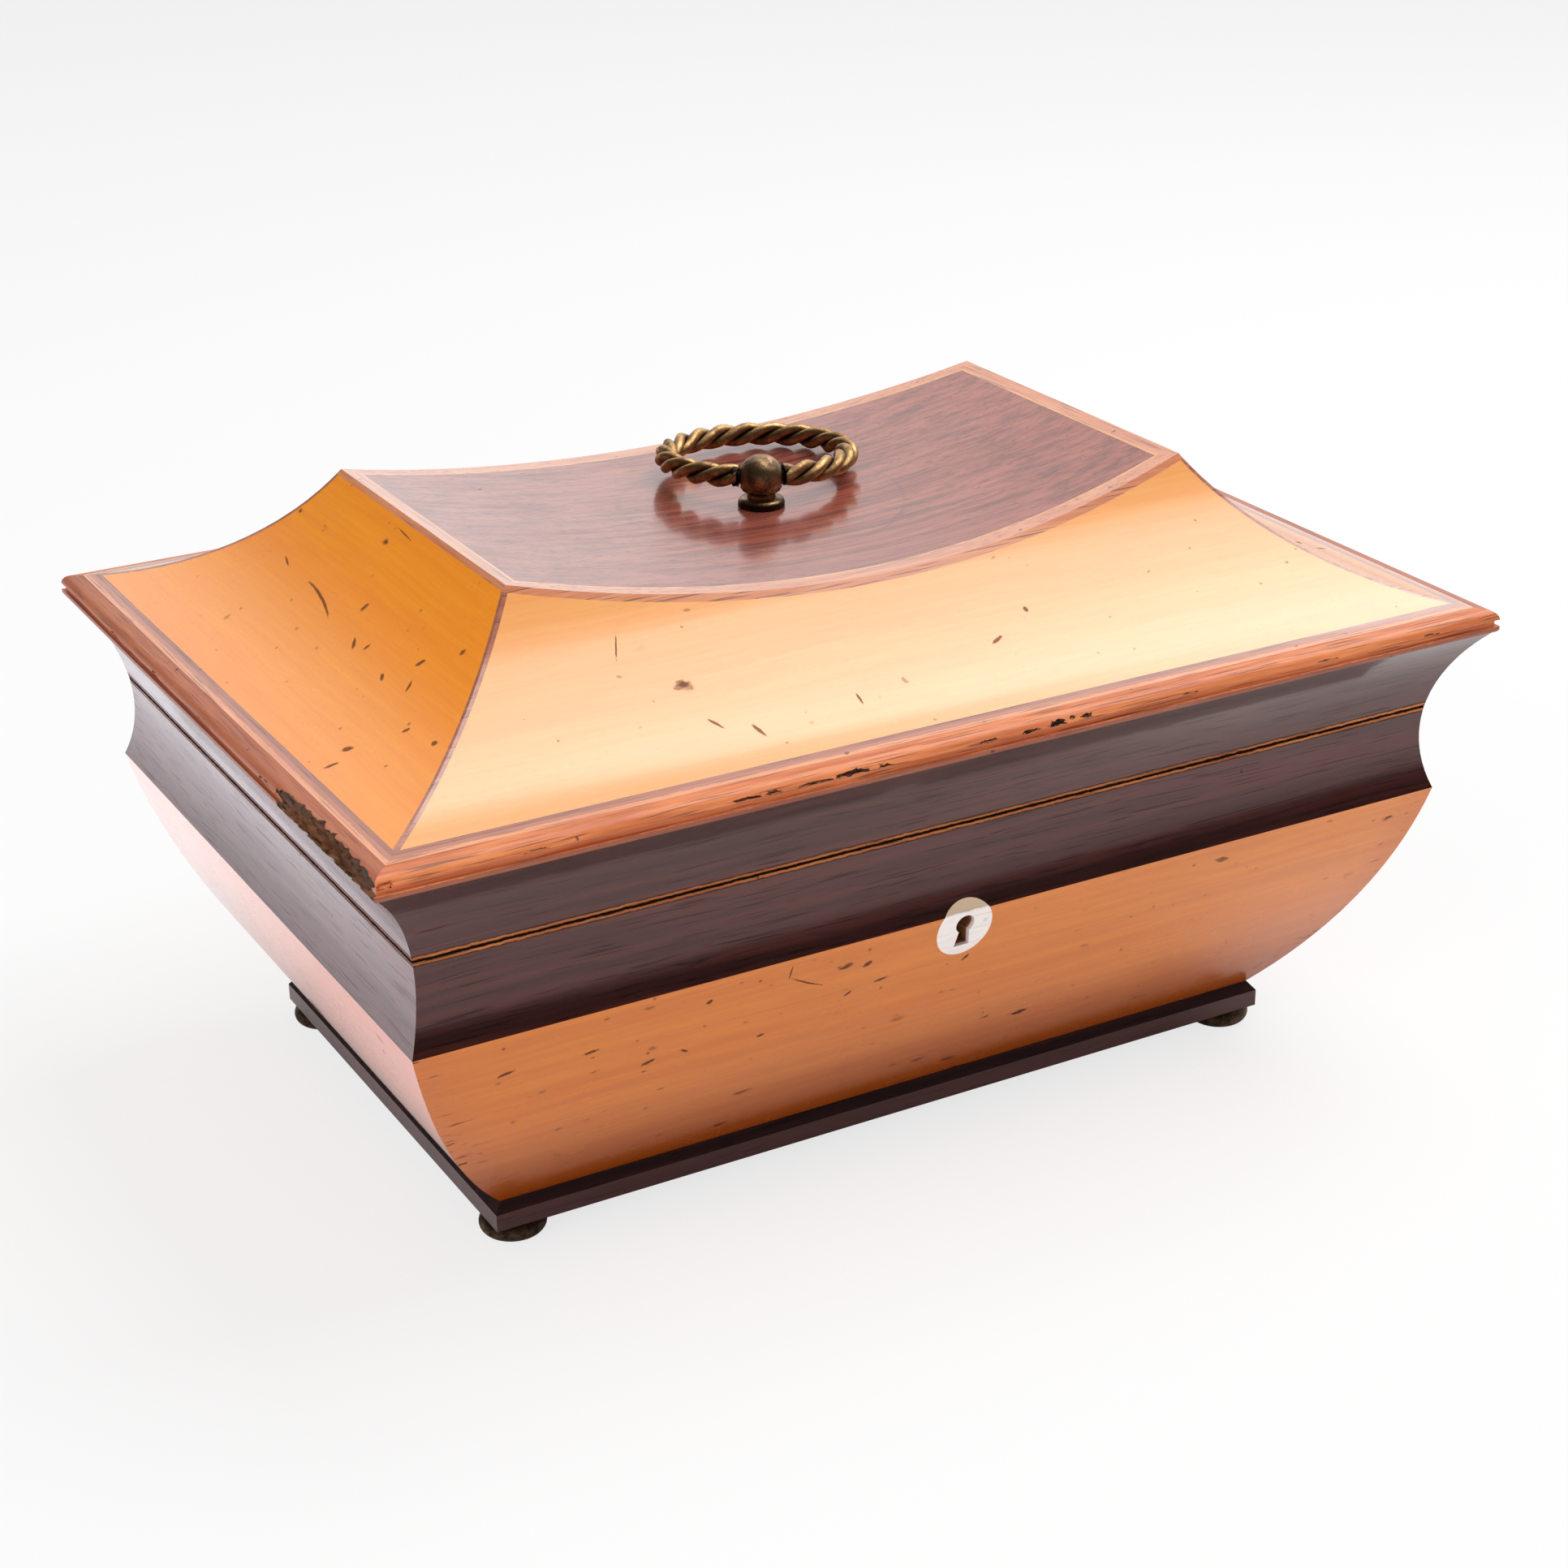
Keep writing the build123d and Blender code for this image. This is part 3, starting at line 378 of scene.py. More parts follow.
def mitreWear(mapped, share):
    # short cracks that run in along the grain from the corners
    place = parts(mapped)
    corner = minus(halfLength / mm, calc("ABSOLUTE", place[0]))
    edge = minus(halfDepth / mm, calc("ABSOLUTE", place[1]))
    lines = noise(stretch(mapped, (0.09, 0.0, 0.75)), 1.0, 3.0, 0.7)["Fac"]
    near = steps(minus(corner, edge), 14.0, 1.0)
    return times(times(steps(lines, 0.60, 0.66), near), share), times(near, share)


def makeSatinwood(name, turn, look, seed):
    material, shader, mapped = startFinish(name, turn)
    shifted = vectorMath("ADD", mapped, (seed, seed * 0.7, seed * 0.3))
    broad = noise(stretch(shifted, (0.0035, 0.055, 0.055)), 1.0, 3.0, 0.5, 0.3)["Fac"]
    figure = grain(mapped, length=38.0, band=0.34, fibre=1.5, wander=4.0, seed=seed)
    paleShare = times(steps(broad, 0.35, 0.68), look["broad"])
    color = mixColor(paleShare, look["base"], look["pale"])
    color = mixColor(times(figure["Bands"], look["streak"]), color, look["deep"])
    color = mixColor(times(figure["Fibre"], look["fibre"]), color, look["deep"])
    slant = put("ShaderNodeMapping", {
        "Vector": flatten(mapped), "Rotation": (0, radians(look["slant"]), 0),
        "Scale": (0.36, 1, 1)}).outputs[0]
    dents = scatter(slant, size=5.0, share=look["knocks"], radius=0.15, ragged=1.6)
    specks = scatter(mapped, size=4.6, share=look["specks"], radius=0.11, ragged=1.0)
    fine = scatter(slant, size=2.7, share=look["fine"], radius=0.13, ragged=1.4)
    cracks = useGroup(hairlines, {
        "Vector": mapped, "Spacing": 24.0, "Width": 0.007, "Share": look["cracks"]})["Mask"]
    scars = addScars(mapped, look["scars"], look.get("scarSize", 1.0))
    where = steps(noise(mapped, 0.03, 2.0)["Fac"], 0.35, 0.6)
    marks = times(dents, plus(times(where, 0.7), 0.25))
    for mask, depth in ((specks, 0.55), (fine, 0.5), (cracks, 0.4), (scars, 0.85)):
        marks = larger(marks, times(mask, depth))
    if "mitre" in look:
        cornerCracks, cornerGrime = mitreWear(mapped, look["mitre"])
        marks = larger(marks, cornerCracks)
        color = mixColor(times(cornerGrime, look["grime"]), color, look["deep"])
    worn = 0.0
    if "foot" in look:  # painted shade: the colour is darker low down, and the coat is taken off there
        low = steps(parts(mapped)[2], 46.0, 12.0)
        color = mixColor(times(low, 0.8), color, look["foot"])
        worn = times(low, look["dullFoot"])
    color = mixColor(marks, color, look["mark"])
    polish = useGroup(rubbedPolish, {"Vector": mapped, "Gloss": 0.14, "Cloud": 0.16})
    roughness = plus(polish["Roughness"], times(marks, 0.4), True)
    height = minus(times(polish["Ripple"], 0.6), times(marks, 0.6))
    setSurface(shader, color, roughness, height, 0.14 * mm)
    setPolish(shader, larger(marks, worn), coatRoughness=look.get("coatRoughness", 0.10))
    return material


rosewoodLook = {
    "top": {
        "red": srgb(168, 92, 74), "brown": srgb(146, 76, 62), "black": srgb(100, 54, 50),
        "mark": srgb(74, 40, 38), "dark": 0.24, "band": 0.42, "pore": 0.6, "scribe": 36.0, "coat": 0.6,
        "level": 0.7},
    "waist": {
        "red": srgb(78, 28, 20), "brown": srgb(52, 20, 16), "black": srgb(26, 11, 11), "mark": srgb(12, 5, 5),
        "dark": 0.50, "band": 0.36, "pore": 0.95, "coat": 0.65, "level": 0.8},
    "plinth": {
        "red": srgb(52, 24, 22), "brown": srgb(36, 18, 18), "black": srgb(20, 11, 13), "mark": srgb(12, 7, 8),
        "dark": 0.5, "band": 0.36, "pore": 0.8, "coat": 0.6, "level": 0.8},
}
rosewoodGleam = srgb(255, 190, 186)


def addScribe(mapped, color, look):
    # the faint ring worn into the polish round the handle
    flat = stretch(mapped, (1, 1, 0))
    away = put("ShaderNodeVectorMath", {0: flat}, operation="LENGTH").outputs["Value"]
    line = steps(calc("ABSOLUTE", minus(away, look["scribe"])), 0.9, 0.2)
    broken = steps(noise(mapped, 0.09, 3.0)["Fac"], 0.35, 0.55)
    return mixColor(times(times(line, broken), 0.5), color, look["black"])


def makeRosewood(name, turn, look, seed):
    material, shader, mapped = startFinish(name, turn)
    figure = grain(mapped, length=42.0, band=look["band"], fibre=1.9, wander=5.0, seed=seed)
    wide = grain(mapped, length=26.0, band=0.10, fibre=0.8, wander=9.0, seed=seed + 40)
    color = ramp(figure["Bands"], [(0.15, look["red"]), (0.55, look["brown"]), (0.95, look["black"])])
    color = mixColor(times(wide["Bands"], look["dark"]), color, look["black"])
    color = mixColor(times(figure["Fibre"], 0.35), color, look["brown"])
    color = mixColor(times(figure["Pores"], look["pore"]), color, look["mark"])
    polish = useGroup(rubbedPolish, {"Vector": mapped, "Gloss": 0.12, "Cloud": 0.14})
    dents = scatter(mapped, size=9.0, share=0.22, radius=0.07, ragged=1.2)
    if "scribe" in look:
        color = addScribe(mapped, color, look)
    roughness = plus(polish["Roughness"], times(dents, 0.3), True)
    height = minus(times(polish["Ripple"], 0.6), dents)
    setSurface(shader, color, roughness, height, 0.06 * mm)
    worn = times(times(figure["Bands"], wide["Bands"]), 0.35)
    worn = larger(worn, times(figure["Pores"], 0.8 * look["pore"]))
    worn = larger(worn, times(dents, 0.9))
    setPolish(shader, worn, look["coat"], look["level"], rosewoodGleam)
    return material


# levels and insets hold stripes by height and by distance in from the outline: low and high in mm, share,
# color; shortShade darkens the short sides by a share of a color; framed lays the grain along all four sides
plainWoods = {
    "mahogany": {
        "light": srgb(238, 146, 86), "dark": srgb(194, 98, 50), "mark": srgb(60, 26, 18), "seed": 9,
        "gloss": 0.42, "coat": 0.22, "framed": True, "levels": [(110, 118.0, 0.75, srgb(128, 66, 50))],
        "shortShade": (0.6, srgb(138, 78, 62))},
    "tulipwood": {
        "light": srgb(226, 154, 110), "dark": srgb(198, 116, 78), "mark": srgb(74, 36, 24), "seed": 12,
        "framed": True},
    "rimline": {
        "light": srgb(240, 166, 118), "dark": srgb(214, 130, 86), "mark": srgb(74, 36, 24), "seed": 13,
        "framed": True, "insets": [(5.95, 7.4, 0.85, srgb(172, 100, 74))]},
    "boxwood": {
        "light": srgb(236, 172, 108), "dark": srgb(204, 130, 74), "mark": srgb(60, 30, 18), "seed": 15,
        "framed": True},
    "seamwood": {
        "light": srgb(206, 130, 76), "dark": srgb(150, 84, 46), "mark": srgb(60, 30, 18), "seed": 16,
        "coat": 0.1, "level": 0.06, "framed": True, "shortShade": (0.85, srgb(92, 50, 40)),
        "levels": [(93.0, 93.95, 0.9, srgb(66, 32, 26)), (96.05, 97.0, 0.9, srgb(66, 32, 26)),
            (94.60, 95.45, 0.97, srgb(14, 8, 8))]},
    "purplewood": {
        "light": srgb(180, 108, 80), "dark": srgb(142, 78, 58), "mark": srgb(52, 24, 16), "seed": 18,
        "framed": True},
    "hipwood": {"light": srgb(192, 118, 88), "dark": srgb(150, 82, 60), "mark": srgb(60, 30, 20), "seed": 19},
    "carcass": {
        "light": srgb(170, 116, 70), "dark": srgb(130, 82, 48), "mark": srgb(60, 34, 20), "seed": 22,
        "band": 0.2, "gloss": 0.45, "coat": 0.2, "framed": True},
    "boardWood": {
        "light": srgb(166, 112, 68), "dark": srgb(128, 80, 46), "mark": srgb(60, 34, 20), "seed": 23,
        "band": 0.2, "gloss": 0.5, "coat": 0.1},
    "trayWood": {
        "light": srgb(150, 92, 56), "dark": srgb(112, 62, 36), "mark": srgb(50, 26, 16), "seed": 26,
        "band": 0.3, "gloss": 0.4, "coat": 0.3},
    # the dark red-brown wood for the groove under the rim nose: painted shade
    "quirkWood": {
        "light": srgb(120, 44, 20), "dark": srgb(84, 26, 12), "mark": srgb(30, 12, 8), "seed": 44,
        "band": 0.9, "gloss": 0.55, "coat": 0.3},
    "tornWood": {
        "light": srgb(150, 92, 50), "dark": srgb(52, 46, 44), "mark": srgb(18, 14, 13), "seed": 41,
        "band": 0.22, "gloss": 0.8, "coat": 0.0, "framed": True},
    "bone": {
        "light": srgb(254, 247, 245), "dark": srgb(247, 238, 234), "mark": srgb(236, 226, 220), "seed": 30,
        "band": 0.6, "gloss": 0.18, "coat": 0.6, "levels": [(73.2, 90, 0.75, srgb(196, 160, 112))]},
}
openJoint = 0.95  # a stripe with a larger share than this is an open joint, without polish


def makePlainWood(name, light, dark, mark, seed, band=0.5, gloss=0.25, coat=1.0, level=0.5, framed=False,
                  levels=(), insets=(), shortShade=None):
    material, shader, mapped = startFinish(name)
    height = parts(mapped)[2]
    around = useGroup(frameGrain, {
        "Vector": mapped, "Half Length": halfLength / mm, "Half Depth": halfDepth / mm})
    if framed:
        mapped = around["Vector"]
    figure = grain(mapped, length=16.0, band=band, fibre=2.2, wander=3.0, seed=seed)
    color = ramp(figure["Bands"], [(0.0, light), (1.0, dark)])
    color = mixColor(times(figure["Fibre"], 0.5), color, dark)
    color = mixColor(times(figure["Pores"], 0.6), color, mark)
    if shortShade:
        color = mixColor(times(around["Short"], shortShade[0]), color, shortShade[1])
    ragged = times(minus(noise(mapped, 0.5, 3.0)["Fac"], 0.5), 0.7)
    dull = 0.0
    for measure, stripes in ((height, levels), (around["Inset"], insets)):
        wavy = plus(measure, ragged)
        for low, high, share, shade in stripes:
            above = steps(wavy, low - 0.1, low + 0.1)
            inside = times(above, steps(wavy, high + 0.1, high - 0.1))
            color = mixColor(times(inside, share), color, shade)
            if share > openJoint:
                dull = larger(dull, inside)
    dents = scatter(mapped, size=5.0, share=0.3, radius=0.12, ragged=1.8)
    color = mixColor(times(dents, 0.8), color, mark)
    polish = useGroup(rubbedPolish, {"Vector": mapped, "Gloss": gloss, "Cloud": 0.18})
    roughness = plus(polish["Roughness"], times(dull, 0.6), True)
    hollow = plus(dents, times(figure["Pores"], 0.3))
    height = minus(times(polish["Ripple"], 0.4), hollow)
    setSurface(shader, color, roughness, height, 0.2 * mm)
    setPolish(shader, dull, coat, level, coatRoughness=0.15)
    return material


brasses = {
    "oldBrass": {
        "bright": srgb(166, 132, 96), "dull": srgb(84, 66, 54), "black": srgb(30, 24, 22), "seed": 0.0,
        "age": 0.9, "roughness": 0.26, "neckShadeHeights": (147.5, 146.6)},
    "darkFeet": {
        "bright": srgb(112, 92, 70), "dull": srgb(62, 50, 40), "black": srgb(26, 21, 18), "seed": 3.0,
        "age": 0.9, "roughness": 0.4},
    "ropeBrass": {
        "bright": srgb(206, 162, 108), "dull": srgb(118, 88, 60), "black": srgb(40, 28, 22), "seed": 0.0,
        # hollow is the painted shade colour for the grooves between the rope's strands
        "age": 0.8, "roughness": 0.3, "hollow": srgb(26, 17, 13)},
    "brass": {
        "bright": srgb(206, 166, 98), "dull": srgb(140, 104, 60), "black": srgb(60, 44, 30), "seed": 7.0,
        "age": 0.5, "roughness": 0.28},
    "steel": {
        "bright": srgb(150, 146, 140), "dull": srgb(96, 90, 84), "black": srgb(40, 36, 34), "seed": 9.0,
        "age": 0.6, "roughness": 0.35},
}
# the painted shade colour for the neck of the post
neckShade = srgb(34, 20, 16)


def makeBrass(name, bright, dull, black, seed, age, roughness, neckShadeHeights=None, hollow=None):
    material, shader, mapped = startFinish(name)
    cloud = noise(vectorMath("ADD", mapped, (seed, seed, seed)), 0.35, 5.0, 0.65)["Fac"]
    fine = noise(mapped, 2.2, 4.0, 0.7)["Fac"]
    tarnish = times(steps(plus(cloud, times(fine, 0.35)), 0.5, 0.85), age)
    color = mixColor(tarnish, bright, dull)
    color = mixColor(times(steps(fine, 0.55, 0.75), age * 0.7), color, black)
    if neckShadeHeights:  # painted shade on the neck where the post meets the lid, between two heights
        color = mixColor(times(steps(parts(mapped)[2], *neckShadeHeights), 0.85), color, neckShade)
    if hollow:  # painted shade: the grooves between the strands are darkened
        crest = put("ShaderNodeAttribute", {}, attribute_name="crest").outputs["Fac"]
        color = mixColor(steps(crest, 0.42, 0.86), hollow, color)
    worn = plus(roughness, times(tarnish, 0.3))
    setSurface(shader, color, worn, plus(fine, cloud), 0.08 * mm)
    setAll(shader.inputs, {"Metallic": 1.0})
    return material


cloths = {
    "paper": {
        "light": srgb(206, 176, 160), "dark": srgb(176, 132, 124), "scale": 1.2, "sheen": 0.0,
        "roughness": 0.85},
    "silk": {
        "light": srgb(176, 66, 70), "dark": srgb(154, 52, 58), "scale": 2.6, "sheen": 0.3, "roughness": 0.38,
        # fold is the painted shade colour for the creases and stitches of the silk
        "fold": srgb(74, 14, 22)},
    "velvet": {
        "light": srgb(132, 36, 46), "dark": srgb(88, 18, 28), "scale": 3.0, "sheen": 0.25, "roughness": 0.95},
}


def makeCloth(name, light, dark, scale, sheen, roughness, fold=None):
    material, shader, mapped = startFinish(name)
    place = parts(mapped)
    threads = [calc("SINE", times(place[axis], scale * 2)) for axis in (0, 1)]
    weave = times(calc("ABSOLUTE", threads[0]), calc("ABSOLUTE", threads[1]))
    fade = noise(mapped, 0.02, 4.0)["Fac"]
    color = mixColor(steps(fade, 0.3, 0.7), light, dark)
    color = mixColor(times(weave, 0.2), color, dark)
    if fold:  # painted shade in the folds and at the stitches
        depth = put("ShaderNodeAttribute", {}, attribute_name="fold").outputs["Fac"]
        color = mixColor(times(depth, 0.8), color, fold)
    setSurface(shader, color, roughness, weave, 0.08 * mm)
    setAll(shader.inputs, {"Sheen Weight": sheen, "Sheen Roughness": 0.4})
    return material


finishes = {  # the grain of the short sides is turned by 90 degrees
    "satinFront": makeSatinwood("satinFront", 0, satinwoodLook["front"], 3),
    "satinSide": makeSatinwood("satinSide", 90, satinwoodLook["side"], 31),
    "coveFront": makeSatinwood("coveFront", 0, satinwoodLook["coveFront"], 57),
    "coveSide": makeSatinwood("coveSide", 90, satinwoodLook["coveSide"], 83),
    "rosewoodTop": makeRosewood("rosewoodTop", 0, rosewoodLook["top"], 5),
    "rosewoodFront": makeRosewood("rosewoodFront", 0, rosewoodLook["waist"], 21),
    "rosewoodSide": makeRosewood("rosewoodSide", 90, rosewoodLook["waist"], 44),
    "rosewoodPlinth": makeRosewood("rosewoodPlinth", 0, rosewoodLook["plinth"], 61),
}
for make, looks in ((makePlainWood, plainWoods), (makeBrass, brasses), (makeCloth, cloths)):
    for name, look in looks.items():
        finishes[name] = make(name, **look)

finishNodes = {
    "rosewoodPlinth": ["plinth_moulding"], "rosewoodTop": ["top_panel"], "mahogany": ["rim_edge"],
    "rimline": ["rim_line"], "purplewood": ["rim_string"], "hipwood": ["hip_strings"],
    "tulipwood": ["top_banding"], "boxwood": ["top_line"], "seamwood": ["base_seam_line", "lid_seam_line"],
    "darkFeet": ["bun_feet"], "oldBrass": ["handle_post", "ring_handle"], "bone": ["escutcheon"],
    "trayWood": ["tray_bottom", "tray_sides", "tray_dividers", "tray_ledges"],
    "boardWood": ["bottom_board", "top_board", "pad_board"],
    "velvet": ["pincushion"], "paper": ["lining_paper"], "silk": ["silk_pad"],
    "brass": ["handle_nut", "lock_plate", "lock_case", "link_plate", "base_hinge_leaves", "lid_hinge_leaves",
              "base_screws", "lid_screws"],
    "steel": ["lock_bolt", "key_pin", "hinge_pins"],
}
sideFinishes = {
    "base_panel": ("satinFront", "satinSide"), "cove_panel": ("coveFront", "coveSide"),
    "base_moulding": ("rosewoodFront", "rosewoodSide"), "lid_moulding": ("rosewoodFront", "rosewoodSide"),
}
nodeFinish = {node: finish for finish, names in finishNodes.items() for node in names}
for part, (longFinish, shortFinish) in sideFinishes.items():
    nodeFinish[part + "_front"] = nodeFinish[part + "_back"] = longFinish
    nodeFinish[part + "_left"] = nodeFinish[part + "_right"] = shortFinish


def setFinish(piece, finish):
    piece.data.materials.clear()
    piece.data.materials.append(finishes[finish])


for name, item in nodes.items():
    setFinish(item, nodeFinish.get(name, "carcass"))
print("stage: finishes set")

# modelling helpers

def leaveEdit():
    bpy.ops.object.mode_set(mode="OBJECT")


def deselectAll():
    if bpy.context.object and bpy.context.object.mode != "OBJECT":
        leaveEdit()
    bpy.ops.object.select_all(action="DESELECT")


def only(*items):
    deselectAll()
    for item in items:
        item.select_set(True)
    bpy.context.view_layer.objects.active = items[0]


def nameActive(name):
    piece = bpy.context.object
    piece.name = piece.data.name = name
    return piece


def startShape(name, add, **settings):
    deselectAll()
    add(**settings)
    return nameActive(name)


def joinAll(items, name):
    only(*items)
    if len(items) > 1:
        bpy.ops.object.join()
    return nameActive(name)


def useModifier(piece, kind, **settings):
    only(piece)
    modifier = piece.modifiers.new(kind.lower(), kind)
    for name, value in settings.items():
        setattr(modifier, name, value)
    bpy.ops.object.modifier_apply(modifier=modifier.name)


def applyPlace(piece):
    only(piece)
    bpy.ops.object.transform_apply(location=True, rotation=True, scale=True)


def editAll(piece):
    only(piece)
    bpy.ops.object.mode_set(mode="EDIT")
    bpy.ops.mesh.select_all(action="SELECT")


def pick(piece, kind, test):
    # leaves edit mode on, with the edges or faces that pass the test selected
    editAll(piece)
    bpy.ops.mesh.select_mode(type=kind)
    bpy.ops.mesh.select_all(action="DESELECT")
    drawn = bmesh.from_edit_mesh(piece.data)
    for item in drawn.edges if kind == "EDGE" else drawn.faces:
        if test(item):
            item.select_set(True)
    drawn.select_flush_mode()
    bmesh.update_edit_mesh(piece.data)


def copyNode(nodeName, pieceName):
    piece = nodes[nodeName].copy()
    piece.data = nodes[nodeName].data.copy()
    piece.parent = None
    piece.name = pieceName
    bpy.context.scene.collection.objects.link(piece)
    return piece


def mergeDoubles(piece):
    editAll(piece)
    bpy.ops.mesh.remove_doubles(threshold=0.002 * mm)
    leaveEdit()
    bpy.ops.mesh.customdata_custom_splitnormals_clear()


def finishPiece(piece, body, finish, smooth):
    setFinish(piece, finish)
    only(piece)
    bpy.ops.object.shade_smooth_by_angle(angle=radians(smooth))
    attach(piece, body)


# the rope-twist ring: three strands laid together, then bent round to the ball

ballPlace = Vector(next(joint for joint in frame["joints"] if joint["name"] == "ring_fold")["pos_m"])
ropeRing = {
    "radius": 23.2 * mm, "ballGap": 5.7 * mm, "strand": 1.5 * mm, "offset": 1.55 * mm, "strands": 3,
    "turns": -6.4, "around": 12, "cuts": 13, "droop": 4.078, "swing": 26.0, "pivot": 1.5 * mm,
    "pivotInner": 1.4 * mm, "pivotSides": 20, "ferrule": 2.75 * mm, "ferruleTaper": 0.8,
    "ferruleDepth": 1.6 * mm, "ferruleSides": 24, "ferruleOut": 1.08, "ferruleRound": 0.35 * mm}


def makeStrand(spec, index, length):
    angle = 2 * pi * index / spec["strands"]
    centre = Vector((0, spec["offset"] * cos(angle), spec["offset"] * sin(angle)))
    strand = startShape(
        "strand", bpy.ops.mesh.primitive_cylinder_add, vertices=spec["around"], radius=spec["strand"],
        depth=length, rotation=(0, pi / 2, 0), location=centre)
    applyPlace(strand)
    for cuts in (spec["cuts"], spec["cuts"]):
        pick(strand, "EDGE", lambda edge: abs(edge.verts[0].co.x - edge.verts[1].co.x) > length / 300)
        bpy.ops.mesh.subdivide(number_cuts=cuts)
    leaveEdit()
    crest = strand.data.attributes.new("crest", "FLOAT", "POINT")
    for vertex, item in zip(strand.data.vertices, crest.data):
        item.value = Vector((0, vertex.co.y, vertex.co.z)).length / (spec["offset"] + spec["strand"])
    return strand


def makeRopeRing(spec):
    halfGap = asin(spec["ballGap"] / spec["radius"])
    sweep = 2 * (pi - halfGap)
    length = spec["radius"] * sweep
    rope = joinAll([makeStrand(spec, index, length) for index in range(spec["strands"])], "ropeRing")
    useModifier(rope, "SIMPLE_DEFORM", deform_method="TWIST", deform_axis="X", angle=2 * pi * spec["turns"])
    useModifier(rope, "SIMPLE_DEFORM", deform_method="BEND", deform_axis="Z", angle=sweep)
    editAll(rope)
    bpy.ops.transform.rotate(value=pi, orient_axis="Z", center_override=(0, spec["radius"], 0))
    leaveEdit()
    ends = []
    for side in (-1, 1):
        reach = spec["ballGap"] + spec["pivot"]
        ends.append(startShape(
            "ringPivot", bpy.ops.mesh.primitive_cylinder_add, vertices=spec["pivotSides"],
            radius=spec["pivot"], depth=reach - spec["pivotInner"], rotation=(0, pi / 2, 0),
            location=(side * (reach + spec["pivotInner"]) / 2, 0, 0)))
        applyPlace(ends[-1])
        turn = side * halfGap
        place = Vector((spec["radius"] * sin(turn), spec["radius"] * (1 - cos(turn)), 0))
        ends.append(startShape(
            "ringFerrule", bpy.ops.mesh.primitive_cone_add, vertices=spec["ferruleSides"],
            radius1=spec["ferrule"], radius2=spec["ferrule"] * spec["ferruleTaper"],
            depth=spec["ferruleDepth"], rotation=(0, pi / 2, turn), location=place * spec["ferruleOut"]))
        applyPlace(ends[-1])
        useModifier(ends[-1], "BEVEL", width=spec["ferruleRound"], segments=3, limit_method="ANGLE")
    ring = joinAll([rope, *ends], "ropeRing")
    turn = Matrix.Rotation(radians(-spec["swing"]), 4, "Z") @ Matrix.Rotation(radians(-spec["droop"]), 4, "X")
    ring.matrix_world = Matrix.Translation(ballPlace) @ turn
    applyPlace(ring)
    finishPiece(ring, "ring", "ropeBrass", 50)
    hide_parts("ring_handle")
    return ring


makeRopeRing(ropeRing)
print("stage: rope ring made")

# the gadrooned foot under the ball

gadroons = {
    "count": 14, "radius": 1.15 * mm, "segments": 12, "rings": 8, "circle": 4.55 * mm, "rise": 2.75 * mm,
    "ballHeight": 7.6 * mm, "flat": 0.55, "roll": 14, "lean": -24}


def makeGadroons(spec):
    lobes = []
    for index in range(spec["count"]):
        angle = 2 * pi * index / spec["count"]
        lobe = startShape(
            "lobe", bpy.ops.mesh.primitive_uv_sphere_add, segments=spec["segments"],
            ring_count=spec["rings"], radius=spec["radius"], location=(spec["circle"], 0, 0))
        applyPlace(lobe)
        pick(lobe, "FACE", lambda face: face.calc_center_median().z < 0)
        bpy.ops.transform.resize(value=(1.0, 1.0, spec["flat"]), center_override=(spec["circle"], 0, 0))
        leaveEdit()
        lobe.rotation_euler = (radians(spec["roll"]), radians(spec["lean"]), angle)
        lobe.location = ballPlace + Vector((0, 0, spec["rise"] - spec["ballHeight"]))
        applyPlace(lobe)
        lobes.append(lobe)
    foot = joinAll(lobes, "footGadroons")
    finishPiece(foot, "handle", "oldBrass", 60)
    return foot


# the chipped and torn mahogany nose round the rim

sideTurn = {"front": 0.0, "right": 90.0, "back": 180.0, "left": -90.0}


def sideOf(point):
    inward = {"front": halfDepth + point.y, "back": halfDepth - point.y,
              "left": halfLength + point.x, "right": halfLength - point.x}
    return min(inward, key=inward.get)


def copySides(nodeName, pieceName):
    # one merged copy for each of the four mitred lengths
    sides = {}
    for side in sideTurn:
        piece = copyNode(nodeName, pieceName)
        pick(piece, "FACE", lambda face: sideOf(face.calc_center_median() - face.normal * 0.0001) != side)
        bpy.ops.mesh.delete(type="FACE")
        leaveEdit()
        mergeDoubles(piece)
        sides[side] = piece
    return sides


def makeCutter(place, size, seed, jagged=0.25):
    cutter = startShape("chipCutter", bpy.ops.mesh.primitive_ico_sphere_add, subdivisions=3, radius=1.0)
    editAll(cutter)
    bpy.ops.transform.vertex_random(offset=jagged, uniform=1.0, normal=0.3, seed=seed)
    leaveEdit()
    cutter.scale = size
    cutter.location = place
    applyPlace(cutter)
    cutter.data.materials.append(finishes["tornWood"])
    return cutter


def carve(piece, cutter):
    useModifier(piece, "BOOLEAN", operation="DIFFERENCE", solver="MANIFOLD", object=cutter)
    bpy.data.objects.remove(cutter)


